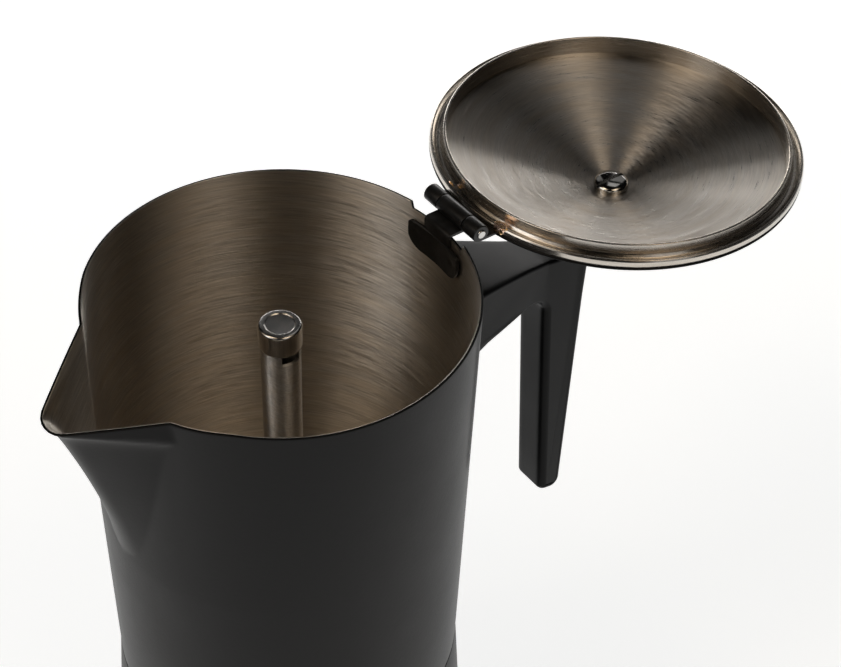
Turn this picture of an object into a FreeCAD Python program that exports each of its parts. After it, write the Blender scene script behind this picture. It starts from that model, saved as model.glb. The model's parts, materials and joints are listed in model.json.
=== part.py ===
import FreeCAD, Part
import math
import os
import Sketcher

# Stovetop espresso maker: a screwed pair of vessels with a coffee funnel between them.
# Millimetres, +Z up. The origin is the centre of the flat underside that stands on the hob.
# The handle points along +X, the pouring spout along -X and the lid's hinge axis along Y.
# The lid is drawn closed and then turned about its hinge to the open position.

SIZES = {
    # whole pot
    "rim_height": 192.0,
    "rim_radius": 49.0,
    "seam_height": 72.0,
    "jug_taper": 0.02,          # radius lost per millimetre below the rim
    "sheet": 0.8,
    "seam_gap": 0.5,
    "cutter_excess": 10.0,      # how far a cutting shape runs past what it cuts
    # boiler
    "base_plate_radius": 47.0,
    "base_plate_thickness": 5.0,
    "base_plate_chamfer": 0.8,
    "boiler_foot_radius": 51.0,
    "boiler_foot_round": 1.5,
    "boiler_waist_radius": 46.6,
    "boiler_sheet": 1.0,
    "neck_inner_radius": 40.2,
    "neck_outer_radius": 41.4,
    "neck_ridge_radius": 42.3,
    "neck_foot_height": 69.5,
    "neck_top_height": 84.0,
    "thread_pitch": 3.0,
    "thread_first_height": 75.0,
    # safety valve, measured outward from the boiler wall
    "valve_height": 38.0,
    "valve_wall_radius": 48.87,
    "valve_shank_radius": 4.0,
    "valve_inner_depth": 6.0,
    "valve_seat_depth": 3.0,
    "valve_inlet_radius": 1.2,
    "valve_chamber_radius": 3.0,
    "valve_washer_radius": 6.6,
    "valve_washer_face": 0.9,
    "valve_hex_radius": 7.5,
    "valve_hex_face": 5.9,
    "valve_cap_thickness": 0.9,
    "valve_stem_radius": 1.4,
    "valve_stem_clearance": 0.05,
    "valve_head_radius": 2.7,
    "valve_head_back": 2.9,
    "valve_head_front": 1.6,
    "valve_stem_end": 7.6,
    "valve_nut_radius": 7.2,
    "valve_nut_thickness": 3.5,
    "valve_coil_radius": 2.15,
    "valve_wire_radius": 0.25,
    "valve_coil_pitch": 1.2,
    # funnel
    "funnel_flange_radius": 41.0,
    "funnel_flange_thickness": 0.8,
    "funnel_rest_gap": 0.05,
    "basket_radius": 36.0,
    "basket_sheet": 0.7,
    "basket_floor_height": 62.0,
    "basket_throat_height": 56.0,
    "stem_radius": 5.0,
    "stem_sheet": 0.6,
    "stem_foot_height": 10.0,
    "strainer_radius": 34.8,
    "strainer_height": 63.2,
    "strainer_thickness": 0.6,
    "hole_radius": 0.8,
    # gasket and filter plate under the jug
    "gasket_inner_radius": 36.5,
    "gasket_outer_radius": 42.3,
    "gasket_height": 84.9,
    "gasket_thickness": 2.5,
    "plate_radius": 41.6,
    "plate_height": 87.45,
    "plate_thickness": 0.6,
    "plate_hole_radius": 0.7,
    # jug
    "collar_inner_radius": 43.0,
    "collar_ridge_radius": 42.5,
    "collar_outer_radius": 45.75,
    "collar_top_height": 88.5,
    "floor_thickness": 1.0,
    "floor_radius": 46.0,
    "notch_half_width": 10.5,
    "notch_depth": 2.0,
    "lip_drop_start": 34.7,     # distance from the axis where the rim starts to fall to the spout
    "lip_drop_slope": 15.4,     # degrees
    "lip_bend_radius": 11.0,
    # pouring spout, formed out of the jug wall
    "spout_reach": 21.0,
    "spout_fade_depth": 75.0,
    "spout_curve": 2.1,
    "spout_sink": 0.71,
    "spout_length": 61.0,
    "spout_half_angle": 38.2,
    "spout_angle_gain": 34.6,
    "spout_angle_curve": 1.416,
    "spout_edge_radius": 6.8,
    "spout_edge_gain": 19.1,
    "spout_edge_curve": 4.38,
    # coffee column
    "column_radius": 5.0,
    "column_bore": 4.2,
    "column_cap_radius": 5.5,
    "column_cap_drop": 9.25,
    "column_cap_height": 6.7,
    "column_cap_round": 1.6,
    "column_cap_roof": 0.8,
    "outlet_width": 5.0,
    "outlet_drop": 19.0,
    "outlet_height": 4.5,
    # lid hinge
    "hinge_reach": 53.1,
    "hinge_lift": 0.7,
    "knuckle_radius": 2.4,
    "pin_radius": 1.25,
    "pin_clearance": 0.05,
    "pin_half_length": 10.8,
    "barrel_half_length": 10.4,
    "middle_knuckle_half": 5.05,
    "knuckle_gap": 0.2,
    "strap_half_width": 5.0,
    "strap_thickness": 1.0,
    "hinge_plate_half_width": 10.2,
    "hinge_plate_shoulder": 4.5,
    "hinge_plate_drop": 13.0,
    "hinge_plate_corner": 5.0,
    "hinge_plate_outer": 47.9,
    "hinge_plate_inner": 46.9,
    # handle and its fixing
    "handle_width": 11.8,
    "handle_root_half_width": 15.0,
    "handle_flare_end": 72.0,
    "handle_root_drop": 16.0,
    "handle_top_drop": 26.1,
    "handle_top_bend": 83.0,
    "handle_reach": 95.4,
    "handle_foot_outer": 92.8,
    "handle_foot_inner": 85.6,
    "handle_grip_inner": 80.5,
    "handle_grip_top": 35.8,
    "handle_arm_underside": 48.1,
    "handle_foot_drop": 117.6,
    "handle_start": 44.0,
    "handle_wall_gap": 0.15,
    "handle_crook_radius": 5.5,
    "handle_shoulder_radius": 3.0,
    "handle_edge_radius": 1.4,
    "bracket_height": 156.0,
    "bracket_plate_half_width": 4.0,
    "bracket_plate_half_height": 6.0,
    "bracket_plate_front": 49.9,
    "tongue_half_width": 3.0,
    "tongue_half_height": 4.0,
    "tongue_front": 62.0,
    "socket_gap": 0.15,
    "handle_screw_reach": 56.0,
    "handle_screw_radius": 1.95,
    "handle_screw_head_radius": 3.6,
    "handle_screw_seat": 149.5,
    "handle_screw_head_height": 2.3,
    "handle_screw_top": 159.0,
    "handle_screw_corner": 0.6,
    "handle_screw_slot_half_length": 2.0,
    "handle_screw_slot_half_width": 0.5,
    "handle_screw_slot_depth": 1.2,
    "handle_bore_radius": 3.9,
    # lid, heights above the rim with the lid closed
    "lid_open": 180.7,          # degrees
    "lid_radius": 49.3,
    "lid_edge_low": 2.7,
    "lid_edge_high": 3.45,
    "lid_cone_radius": 44.4,
    "lid_cone_foot": 3.3,
    "lid_crown_radius": 6.5,
    "lid_crown": 15.0,
    "lid_hole_radius": 2.6,
    "skirt_inner_radius": 44.9,
    "skirt_outer_radius": 45.7,
    "skirt_drop": 1.85,
    "flange_face": 1.75,
    "bead_face": 0.45,
    "leaf_half_width": 10.4,
    "leaf_length": 8.0,
    "leaf_thickness": 0.9,
    "leaf_weld_gap": 0.02,
    "leaf_bridge": 50.4,
    # knob and its screw
    "knob_washer_radius": 6.2,
    "knob_washer_thickness": 0.8,
    "knob_neck_radius": 5.6,
    "knob_top_radius": 8.4,
    "knob_height": 15.5,
    "knob_round": 1.6,
    "insert_radius": 3.7,
    "insert_bore": 2.4,
    "insert_start": 1.0,
    "insert_length": 9.0,
    "knob_screw_radius": 2.4,
    "knob_screw_head_radius": 4.75,
    "knob_screw_head_height": 2.4,
    "knob_screw_slot_width": 1.1,
    "knob_screw_slot_depth": 1.3,
    "knob_screw_length": 10.0,
}

doc = FreeCAD.newDocument("stovetop_espresso_maker")
sheet = doc.addObject("Spreadsheet::Sheet", "Sizes")
for row, (name, value) in enumerate(SIZES.items(), start=1):
    sheet.set(f"A{row}", name)
    sheet.set(f"B{row}", str(value))
    sheet.setAlias(f"B{row}", name)
doc.recompute()

nodes = []


def size(name):
    """The value of a cell, for shapes that are computed rather than bound."""
    return float(sheet.get(name))


def value_of(formula):
    """What an expression on the sheet comes to now."""
    result = sheet.evalExpression(formula)
    return float(getattr(result, "Value", result))


def sized(words):
    """Turn plain alias words into an expression on the sheet."""
    parts = words.split()
    return " ".join(f"Sizes.{part}" if part in SIZES else part for part in parts)


def bind(thing, formulas):
    for prop, words in formulas.items():
        thing.setExpression(prop, sized(words))


def keep(thing, label):
    """Hand a finished object over as the node of that name."""
    thing.Label = label
    nodes.append(thing)
    return thing


# ---------------------------------------------------------------- PartDesign helpers

def new_body(label):
    return keep(doc.addObject("PartDesign::Body", label), label)


def new_sketch(body, plane, offset="0"):
    """A sketch on one of the body's own origin planes, moved along the plane's normal."""
    sketch = body.newObject("Sketcher::SketchObject", f"{body.Name}_sketch")
    support = [item for item in body.Origin.OriginFeatures if item.Role == plane][0]
    sketch.AttachmentSupport = (support, [""])
    sketch.MapMode = "FlatFace"
    bind(sketch, {"AttachmentOffset.Base.z": offset})
    return sketch


def pin_down(sketch, geometry, point, across, up):
    """Hold one sketch point at two formulas, or on an axis where a formula is 0."""
    for kind, words, axis in (("DistanceX", across, -2), ("DistanceY", up, -1)):
        if words == "0":
            sketch.addConstraint(Sketcher.Constraint("PointOnObject", geometry, point, axis))
            continue
        value = value_of(sized(words))
        index = sketch.addConstraint(Sketcher.Constraint(kind, -1, 1, geometry, point, value))
        sketch.setExpression(f"Constraints[{index}]", sized(words))


def draw_polygon(sketch, corners):
    """A closed outline whose corners are pairs of formulas."""
    places = []
    for across, up in corners:
        places.append(FreeCAD.Vector(value_of(sized(across)), value_of(sized(up)), 0))
    count = len(places)
    first = sketch.GeometryCount
    for i in range(count):
        sketch.addGeometry(Part.LineSegment(places[i], places[(i + 1) % count]), False)
    for i in range(count):
        following = first + (i + 1) % count
        sketch.addConstraint(Sketcher.Constraint("Coincident", first + i, 2, following, 1))
    for i, (across, up) in enumerate(corners):
        pin_down(sketch, first + i, 1, across, up)


def draw_circle(sketch, across, up, radius):
    centre = FreeCAD.Vector(value_of(sized(across)), value_of(sized(up)), 0)
    normal = FreeCAD.Vector(0, 0, 1)
    circle = sketch.addGeometry(Part.Circle(centre, normal, value_of(sized(radius))), False)
    index = sketch.addConstraint(Sketcher.Constraint("Radius", circle, value_of(sized(radius))))
    sketch.setExpression(f"Constraints[{index}]", sized(radius))
    pin_down(sketch, circle, 3, across, up)


def revolve(body, sketch, kind="PartDesign::Revolution"):
    feature = body.newObject(kind, f"{body.Name}_turned")
    feature.Profile = sketch
    feature.ReferenceAxis = (sketch, ["V_Axis"])
    feature.Angle = 360
    return feature


def turned(label, corners):
    """A body turned about its Z axis from an outline of radius and height formulas."""
    body = new_body(label)
    sketch = new_sketch(body, "XZ_Plane")
    draw_polygon(sketch, corners)
    revolve(body, sketch)
    return body


def pad(body, sketch, length, symmetric=False):
    feature = body.newObject("PartDesign::Pad", f"{body.Name}_pad")
    feature.Profile = sketch
    feature.Midplane = symmetric
    bind(feature, {"Length": length})
    return feature


def pocket(body, sketch, length=None, flip=False):
    """Cut along the sketch's normal and make sure that something was cut."""
    doc.recompute()
    before = body.Shape.Volume
    feature = body.newObject("PartDesign::Pocket", f"{body.Name}_pocket")
    feature.Profile = sketch
    feature.Reversed = flip
    if length is None:
        feature.Type = "ThroughAll"
    else:
        bind(feature, {"Length": length})
    doc.recompute()
    if not body.Shape.Volume < before:
        raise RuntimeError(f"{body.Label}: a pocket cut nothing")
    return feature


def ring_of_holes(body, plane_height, radius_words, ring_radius, count):
    """One drilled hole, repeated round the body's axis."""
    sketch = new_sketch(body, "XY_Plane", plane_height)
    draw_circle(sketch, ring_radius, "0", radius_words)
    cut = pocket(body, sketch)
    pattern = body.newObject("PartDesign::PolarPattern", f"{body.Name}_ring")
    pattern.Originals = [cut]
    pattern.Axis = (sketch, ["N_Axis"])
    pattern.Angle = 360
    pattern.Occurrences = count
    body.Tip = pattern


def round_edges(body, radius, chosen):
    """Fillet the edges of the body's last feature that the test picks."""
    doc.recompute()
    base = body.Tip
    names = [f"Edge{i}" for i, edge in enumerate(base.Shape.Edges, start=1) if chosen(edge)]
    if not names:
        raise RuntimeError(f"{body.Label}: no edge to round")
    fillet = body.newObject("PartDesign::Fillet", f"{body.Name}_round")
    fillet.Base = (base, names)
    bind(fillet, {"Radius": radius})


def hexagon(radius):
    """Corner formulas of a hexagon about the origin, from its corner radius."""
    corners = []
    for step in range(6):
        angle = 60 * step + 30
        corners.append((f"{radius} * cos( {angle} deg )", f"{radius} * sin( {angle} deg )"))
    return corners


# ---------------------------------------------------------------- Part helpers

def primitive(kind, name, formulas, turn=None):
    thing = doc.addObject(kind, name)
    if turn is not None:
        axis, angle = turn
        thing.Placement = FreeCAD.Placement(FreeCAD.Vector(), FreeCAD.Rotation(axis, angle))
    bind(thing, formulas)
    return thing


def cut(name, base, tool):
    thing = doc.addObject("Part::Cut", name)
    thing.Base = base
    thing.Tool = tool
    return thing


def fuse(name, pieces):
    thing = doc.addObject("Part::MultiFuse", name)
    thing.Shapes = pieces
    return thing


def common(name, base, tool):
    thing = doc.addObject("Part::Common", name)
    thing.Base = base
    thing.Tool = tool
    return thing


Y_AXIS = FreeCAD.Vector(0, 1, 0)
X_AXIS = FreeCAD.Vector(1, 0, 0)


# ---------------------------------------------------------------- boiler

def boiler_base():
    """The thick heat-spreading disc that stands on the hob."""
    turned("boiler_base", [
        ("0", "0"),
        ("base_plate_radius - base_plate_chamfer", "0"),
        ("base_plate_radius", "base_plate_chamfer"),
        ("base_plate_radius", "base_plate_thickness"),
        ("0", "base_plate_thickness"),
    ])


BOILER_TOP = "seam_height - seam_gap"
WALL_FOOT = "base_plate_thickness + boiler_foot_round"


def boiler_floor():
    """Floor of the boiler, on the base disc and inside the wall."""
    turned("boiler_floor", [
        ("0", "base_plate_thickness"),
        ("boiler_foot_radius - boiler_foot_round", "base_plate_thickness"),
        ("boiler_foot_radius - boiler_sheet", f"{WALL_FOOT} - boiler_sheet"),
        ("boiler_foot_radius - boiler_sheet", "base_plate_thickness + boiler_sheet"),
        ("0", "base_plate_thickness + boiler_sheet"),
    ])


def boiler_shell():
    """The boiler's leaning side wall, with the hole for the valve."""
    body = turned("boiler_shell", [
        ("boiler_foot_radius - boiler_sheet", f"{WALL_FOOT} - boiler_sheet"),
        ("boiler_foot_radius", WALL_FOOT),
        ("boiler_waist_radius", BOILER_TOP),
        ("boiler_waist_radius - boiler_sheet", BOILER_TOP),
        ("boiler_foot_radius - boiler_sheet", WALL_FOOT),
    ])
    hole = new_sketch(body, "XZ_Plane")
    draw_circle(hole, "0", "valve_height", "valve_shank_radius")
    pocket(body, hole, "boiler_foot_radius + cutter_excess", flip=True)


def boiler_shoulder():
    """Flat ring that closes the boiler's top between its wall and its mouth."""
    lean = f"( boiler_foot_radius - boiler_waist_radius ) / ( {BOILER_TOP} - ( {WALL_FOOT} ) )"
    edge = "boiler_waist_radius - boiler_sheet"
    turned("boiler_shoulder", [
        ("neck_outer_radius", f"{BOILER_TOP} - boiler_sheet"),
        (f"{edge} + boiler_sheet * {lean}", f"{BOILER_TOP} - boiler_sheet"),
        (edge, BOILER_TOP),
        ("neck_outer_radius", BOILER_TOP),
    ])


def boiler_neck():
    """The threaded ring welded into the boiler's mouth; its ridges stand for the thread."""
    corners = [
        ("neck_inner_radius", "neck_foot_height"),
        ("neck_outer_radius", "neck_foot_height"),
    ]
    for turn in range(3):
        start = f"thread_first_height + {turn} * thread_pitch"
        corners += [
            ("neck_outer_radius", start),
            ("neck_ridge_radius", f"{start} + 0.25 * thread_pitch"),
            ("neck_ridge_radius", f"{start} + 0.45 * thread_pitch"),
            ("neck_outer_radius", f"{start} + 0.7 * thread_pitch"),
        ]
    corners += [
        ("neck_outer_radius", "neck_top_height"),
        ("neck_inner_radius", "neck_top_height"),
    ]
    turned("boiler_neck", corners)


def on_valve_axis(thing):
    """Stand a piece that is drawn along Z on the boiler wall, pointing along -Y."""
    thing.Placement = FreeCAD.Placement(FreeCAD.Vector(), FreeCAD.Rotation(X_AXIS, 90))
    bind(thing, {
        "Placement.Base.y": "-1 * valve_wall_radius",
        "Placement.Base.z": "valve_height",
    })


def boiler_cone(name, inset):
    """The boiler's outside, or its inside when inset by the sheet, as a plain cone."""
    return primitive("Part::Cone", name, {
        "Radius1": f"boiler_foot_radius - {inset}",
        "Radius2": f"boiler_waist_radius - {inset}",
        "Height": f"{BOILER_TOP} - ( {WALL_FOOT} )",
        "Placement.Base.z": WALL_FOOT,
    })


def valve_body():
    """Brass body: threaded shank through the wall, hexagon outside, spring chamber inside."""
    body = turned("valve_body", [
        ("valve_inlet_radius", "-1 * valve_inner_depth"),
        ("valve_shank_radius", "-1 * valve_inner_depth"),
        ("valve_shank_radius", "valve_hex_face"),
        ("valve_chamber_radius", "valve_hex_face"),
        ("valve_chamber_radius", "-1 * valve_seat_depth"),
        ("valve_inlet_radius", "-1 * valve_seat_depth"),
    ])
    collar = new_sketch(body, "XY_Plane", "valve_washer_face")
    draw_polygon(collar, hexagon("valve_hex_radius"))
    draw_circle(collar, "0", "0", "valve_shank_radius - 0.2")
    pad(body, collar, "valve_hex_face - valve_washer_face")
    on_valve_axis(body)


def valve_washer():
    """Fibre washer, squeezed to the curve of the wall on its inner side."""
    blank = primitive("Part::Cylinder", "valve_washer_blank", {
        "Radius": "valve_washer_radius",
        "Height": "valve_washer_face + valve_seat_depth",
        "Placement.Base.y": "valve_seat_depth - valve_wall_radius",
        "Placement.Base.z": "valve_height",
    }, turn=(X_AXIS, 90))
    bore = primitive("Part::Cylinder", "valve_washer_bore", {
        "Radius": "valve_shank_radius",
        "Height": "valve_washer_face + 2 * cutter_excess",
        "Placement.Base.y": "cutter_excess - valve_wall_radius",
        "Placement.Base.z": "valve_height",
    }, turn=(X_AXIS, 90))
    ring = cut("valve_washer_ring", blank, bore)
    keep(cut("valve_washer", ring, boiler_cone("valve_washer_wall", "0")), "valve_washer")


def valve_nut():
    """Nut inside the boiler that holds the valve body."""
    blank = doc.addObject("Part::Prism", "valve_nut_blank")
    blank.Polygon = 6
    blank.Placement = FreeCAD.Placement(FreeCAD.Vector(), FreeCAD.Rotation(X_AXIS, 90))
    bind(blank, {
        "Circumradius": "valve_nut_radius",
        "Height": "valve_nut_thickness + boiler_sheet",
        "Placement.Base.y": "valve_nut_thickness + boiler_sheet - valve_wall_radius",
        "Placement.Base.z": "valve_height",
    })
    bore = primitive("Part::Cylinder", "valve_nut_bore", {
        "Radius": "valve_shank_radius",
        "Height": "valve_nut_thickness + 2 * cutter_excess",
        "Placement.Base.y": "valve_nut_thickness + cutter_excess - valve_wall_radius",
        "Placement.Base.z": "valve_height",
    }, turn=(X_AXIS, 90))
    nut = cut("valve_nut_drilled", blank, bore)
    inside = boiler_cone("valve_nut_wall", "boiler_sheet")
    keep(common("valve_nut", nut, inside), "valve_nut")


def valve_cap():
    """Crimped disc that keeps the spring in and guides the stem."""
    bore = "valve_stem_radius + valve_stem_clearance"
    body = turned("valve_cap", [
        (bore, "valve_hex_face - valve_cap_thickness"),
        ("valve_chamber_radius", "valve_hex_face - valve_cap_thickness"),
        ("valve_chamber_radius", "valve_hex_face"),
        (bore, "valve_hex_face"),
    ])
    on_valve_axis(body)


def valve_pin():
    """Sprung plunger: its head closes the inlet, its stem shows outside."""
    body = turned("valve_pin", [
        ("0", "-1 * valve_head_back"),
        ("valve_head_radius", "-1 * valve_head_back"),
        ("valve_head_radius", "-1 * valve_head_front"),
        ("valve_stem_radius", "-1 * valve_head_front"),
        ("valve_stem_radius", "valve_stem_end - 0.4"),
        ("valve_stem_radius - 0.4", "valve_stem_end"),
        ("0", "valve_stem_end"),
    ])
    on_valve_axis(body)


def valve_spring():
    """Coil between the plunger's head and the cap."""
    body = new_body("valve_spring")
    sketch = new_sketch(body, "XZ_Plane")
    draw_circle(sketch, "valve_coil_radius", "valve_wire_radius + 0.05 - valve_head_front",
                "valve_wire_radius")
    coil = body.newObject("PartDesign::AdditiveHelix", "valve_spring_coil")
    coil.Profile = sketch
    coil.ReferenceAxis = (sketch, ["V_Axis"])
    coil.Mode = "pitch-height-angle"
    free = "valve_hex_face - valve_cap_thickness + valve_head_front - 2 * valve_wire_radius"
    bind(coil, {"Pitch": "valve_coil_pitch", "Height": f"{free} - 0.2"})
    on_valve_axis(body)


# ---------------------------------------------------------------- funnel

def funnel_basket():
    """Coffee basket: straight wall with a flange that hangs on the boiler's mouth."""
    flange = "neck_top_height + funnel_rest_gap"
    inner = "basket_radius - basket_sheet"
    turned("funnel_basket", [
        ("funnel_flange_radius", flange),
        ("funnel_flange_radius", f"{flange} + funnel_flange_thickness"),
        (inner, f"{flange} + funnel_flange_thickness"),
        (inner, "basket_floor_height"),
        ("basket_radius", "basket_floor_height"),
        ("basket_radius", flange),
    ])


def funnel_cone():
    """Sloping floor between the basket's wall and the stem."""
    inner = "basket_radius - basket_sheet"
    turned("funnel_cone", [
        ("stem_radius", "basket_throat_height"),
        (inner, "basket_floor_height"),
        (inner, "basket_floor_height + basket_sheet"),
        ("stem_radius", "basket_throat_height + basket_sheet"),
    ])


def funnel_stem():
    """Tube that carries the water up from near the boiler's floor."""
    turned("funnel_stem", [
        ("stem_radius - stem_sheet", "stem_foot_height"),
        ("stem_radius", "stem_foot_height"),
        ("stem_radius", "basket_throat_height + basket_sheet"),
        ("stem_radius - stem_sheet", "basket_throat_height + basket_sheet"),
    ])


def funnel_strainer():
    """Perforated disc that carries the coffee."""
    body = turned("funnel_strainer", [
        ("0", "strainer_height"),
        ("strainer_radius", "strainer_height"),
        ("strainer_radius", "strainer_height + strainer_thickness"),
        ("0", "strainer_height + strainer_thickness"),
    ])
    for ring in range(1, 6):
        spacing = f"strainer_radius * {ring} / 6"
        ring_of_holes(body, "strainer_height + cutter_excess", "hole_radius", spacing, 6 * ring)


# ---------------------------------------------------------------- seal

def gasket():
    turned("gasket", [
        ("gasket_inner_radius", "gasket_height"),
        ("gasket_outer_radius", "gasket_height"),
        ("gasket_outer_radius", "gasket_height + gasket_thickness"),
        ("gasket_inner_radius", "gasket_height + gasket_thickness"),
    ])


def filter_plate():
    """Perforated plate that keeps the grounds out of the jug."""
    body = turned("filter_plate", [
        ("0", "plate_height"),
        ("plate_radius", "plate_height"),
        ("plate_radius", "plate_height + plate_thickness"),
        ("0", "plate_height + plate_thickness"),
    ])
    for ring in range(1, 6):
        spacing = f"gasket_inner_radius * {ring} / 6"
        ring_of_holes(body, "plate_height + cutter_excess", "plate_hole_radius", spacing, 6 * ring)


# ---------------------------------------------------------------- jug

def jug_cone(name, inset):
    """The jug's outside, or its inside when inset by the sheet, as a plain cone."""
    depth = "( rim_height - seam_height )"
    return primitive("Part::Cone", name, {
        "Radius1": f"rim_radius - jug_taper * {depth} - {inset}",
        "Radius2": f"rim_radius - {inset}",
        "Height": depth,
        "Placement.Base.z": "seam_height",
    })


def spout_section(depth, inset):
    """One level cut of the spout: two straight cheeks that meet in a rounded front edge."""
    shut = max(depth, 0.0) / size("spout_length")
    widening = shut ** size("spout_angle_curve")
    half = math.radians(size("spout_half_angle") + size("spout_angle_gain") * widening)
    edge = size("spout_edge_radius") + size("spout_edge_gain") * shut ** size("spout_edge_curve")
    fade = (1.0 - depth / size("spout_fade_depth")) ** size("spout_curve")
    wall = size("rim_radius") - size("jug_taper") * depth
    front = wall + size("spout_reach") * fade - size("spout_sink")
    apex = front + edge * (1.0 / math.sin(half) - 1.0) - inset / math.sin(half)
    edge -= inset
    height = size("rim_height") - depth
    root = (-apex * math.sin(half) ** 2, apex * math.sin(half) * math.cos(half))
    tangent = (-apex + edge / math.tan(half) * math.cos(half), edge * math.cos(half))
    tip = FreeCAD.Vector(-apex + edge * (1.0 / math.sin(half) - 1.0), 0, height)
    left_root = FreeCAD.Vector(root[0], root[1], height)
    left = FreeCAD.Vector(tangent[0], tangent[1], height)
    right = FreeCAD.Vector(tangent[0], -tangent[1], height)
    right_root = FreeCAD.Vector(root[0], -root[1], height)
    return Part.Wire([
        Part.makeLine(left_root, left),
        Part.Arc(left, tip, right).toShape(),
        Part.makeLine(right, right_root),
        Part.makeLine(right_root, left_root),
    ])


def spout_solid(name, inset):
    """The spout as a loft through level cuts, from above the rim to inside the wall."""
    above_rim = -4.0
    steps = 9
    full = size("spout_length") * 1.12
    sections = []
    for step in range(steps):
        depth = above_rim + (full - above_rim) * step / (steps - 1)
        sections.append(spout_section(depth, inset))
    thing = doc.addObject("Part::Feature", name)
    thing.Shape = Part.makeLoft(sections, True, False)
    return thing


def rim_trimmer():
    """Everything above the rim line, which bends down towards the spout's tip."""
    sketch = doc.addObject("Sketcher::SketchObject", "rim_line")
    sketch.Placement = FreeCAD.Placement(FreeCAD.Vector(), FreeCAD.Rotation(X_AXIS, 90))
    far = "( rim_radius + spout_reach + cutter_excess )"
    fall = f"( {far} - lip_drop_start ) * tan( lip_drop_slope * 1 deg )"
    draw_polygon(sketch, [
        (far, "rim_height"),
        (far, "rim_height + cutter_excess"),
        (f"-1 * {far}", "rim_height + cutter_excess"),
        (f"-1 * {far}", f"rim_height - {fall}"),
        ("-1 * lip_drop_start", "rim_height"),
    ])
    slab = doc.addObject("Part::Extrusion", "rim_slab")
    slab.Base = sketch
    slab.DirMode = "Normal"
    slab.Solid = True
    slab.Symmetric = True
    bind(slab, {"LengthFwd": "4 * rim_radius"})
    doc.recompute()
    bend = doc.addObject("Part::Fillet", "rim_bend")
    bend.Base = slab
    start = -size("lip_drop_start")
    chosen = []
    for index, edge in enumerate(slab.Shape.Edges, start=1):
        middle = edge.CenterOfMass
        if abs(middle.x - start) < 0.01 and abs(middle.y) < 0.01:
            chosen.append((index, size("lip_bend_radius"), size("lip_bend_radius")))
    bend.Edges = chosen
    return bend


def jug_wall():
    """The jug's sheet wall with its drawn spout and the hinge notch in the rim."""
    outside = fuse("jug_outside", [jug_cone("jug_outer_cone", "0"), spout_solid("spout_outer", 0.0)])
    inside = fuse("jug_inside", [
        jug_cone("jug_inner_cone", "sheet"),
        spout_solid("spout_inner", size("sheet")),
    ])
    notch = primitive("Part::Box", "rim_notch", {
        "Length": "2 * cutter_excess",
        "Width": "2 * notch_half_width",
        "Height": "notch_depth + cutter_excess",
        "Placement.Base.x": "rim_radius - cutter_excess",
        "Placement.Base.y": "-1 * notch_half_width",
        "Placement.Base.z": "rim_height - notch_depth",
    })
    shell = cut("jug_shell", outside, inside)
    trimmed = cut("jug_trimmed", shell, rim_trimmer())
    keep(cut("jug_wall", trimmed, notch), "jug_wall")


def jug_floor():
    """Floor of the jug, pierced for the coffee column."""
    turned("jug_floor", [
        ("column_radius", "collar_top_height"),
        ("floor_radius", "collar_top_height"),
        ("floor_radius", "collar_top_height + floor_thickness"),
        ("column_radius", "collar_top_height + floor_thickness"),
    ])


def jug_collar():
    """Threaded collar inside the jug's foot; its ridges stand for the thread."""
    corners = [
        ("collar_outer_radius", "seam_height"),
        ("collar_outer_radius", "collar_top_height"),
        ("collar_inner_radius", "collar_top_height"),
    ]
    for turn in (2, 1, 0):
        start = f"thread_first_height + ( {turn} + 0.5 ) * thread_pitch"
        corners += [
            ("collar_inner_radius", f"{start} + 0.7 * thread_pitch"),
            ("collar_ridge_radius", f"{start} + 0.45 * thread_pitch"),
            ("collar_ridge_radius", f"{start} + 0.25 * thread_pitch"),
            ("collar_inner_radius", start),
        ]
    corners.append(("collar_inner_radius", "seam_height"))
    turned("jug_collar", corners)


def column_tube():
    """Riser tube with two outlets just under its cap, facing +Y and -Y."""
    top = "rim_height - column_cap_drop - column_cap_roof"
    body = turned("column_tube", [
        ("column_bore", "collar_top_height"),
        ("column_radius", "collar_top_height"),
        ("column_radius", top),
        ("column_bore", top),
    ])
    outlet = new_sketch(body, "XZ_Plane", "2 * column_radius")
    low = "rim_height - outlet_drop"
    draw_polygon(outlet, [
        ("-0.5 * outlet_width", low),
        ("0.5 * outlet_width", low),
        ("0.5 * outlet_width", f"{low} + outlet_height"),
        ("-0.5 * outlet_width", f"{low} + outlet_height"),
    ])
    pocket(body, outlet)


def column_cap():
    """Cap that turns the coffee out through the two outlets."""
    top = "rim_height - column_cap_drop"
    body = turned("column_cap", [
        ("0", top),
        ("column_cap_radius", top),
        ("column_cap_radius", f"{top} - column_cap_height"),
        ("column_radius", f"{top} - column_cap_height"),
        ("column_radius", f"{top} - column_cap_roof"),
        ("0", f"{top} - column_cap_roof"),
    ])
    roof = size("rim_height") - size("column_cap_drop")
    outer = size("column_cap_radius")

    def at_top(edge):
        ring = isinstance(edge.Curve, Part.Circle) and abs(edge.Curve.Radius - outer) < 0.01
        return ring and abs(edge.CenterOfMass.z - roof) < 0.01

    round_edges(body, "column_cap_round", at_top)


# ---------------------------------------------------------------- hinge

HINGE_HEIGHT = "rim_height + hinge_lift"


def rod_along_y(name, radius, low, length):
    """A cylinder on the hinge axis from one Y to another."""
    return primitive("Part::Cylinder", name, {
        "Radius": radius,
        "Height": length,
        "Placement.Base.x": "hinge_reach",
        "Placement.Base.y": low,
        "Placement.Base.z": HINGE_HEIGHT,
    }, turn=(X_AXIS, -90))


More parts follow.
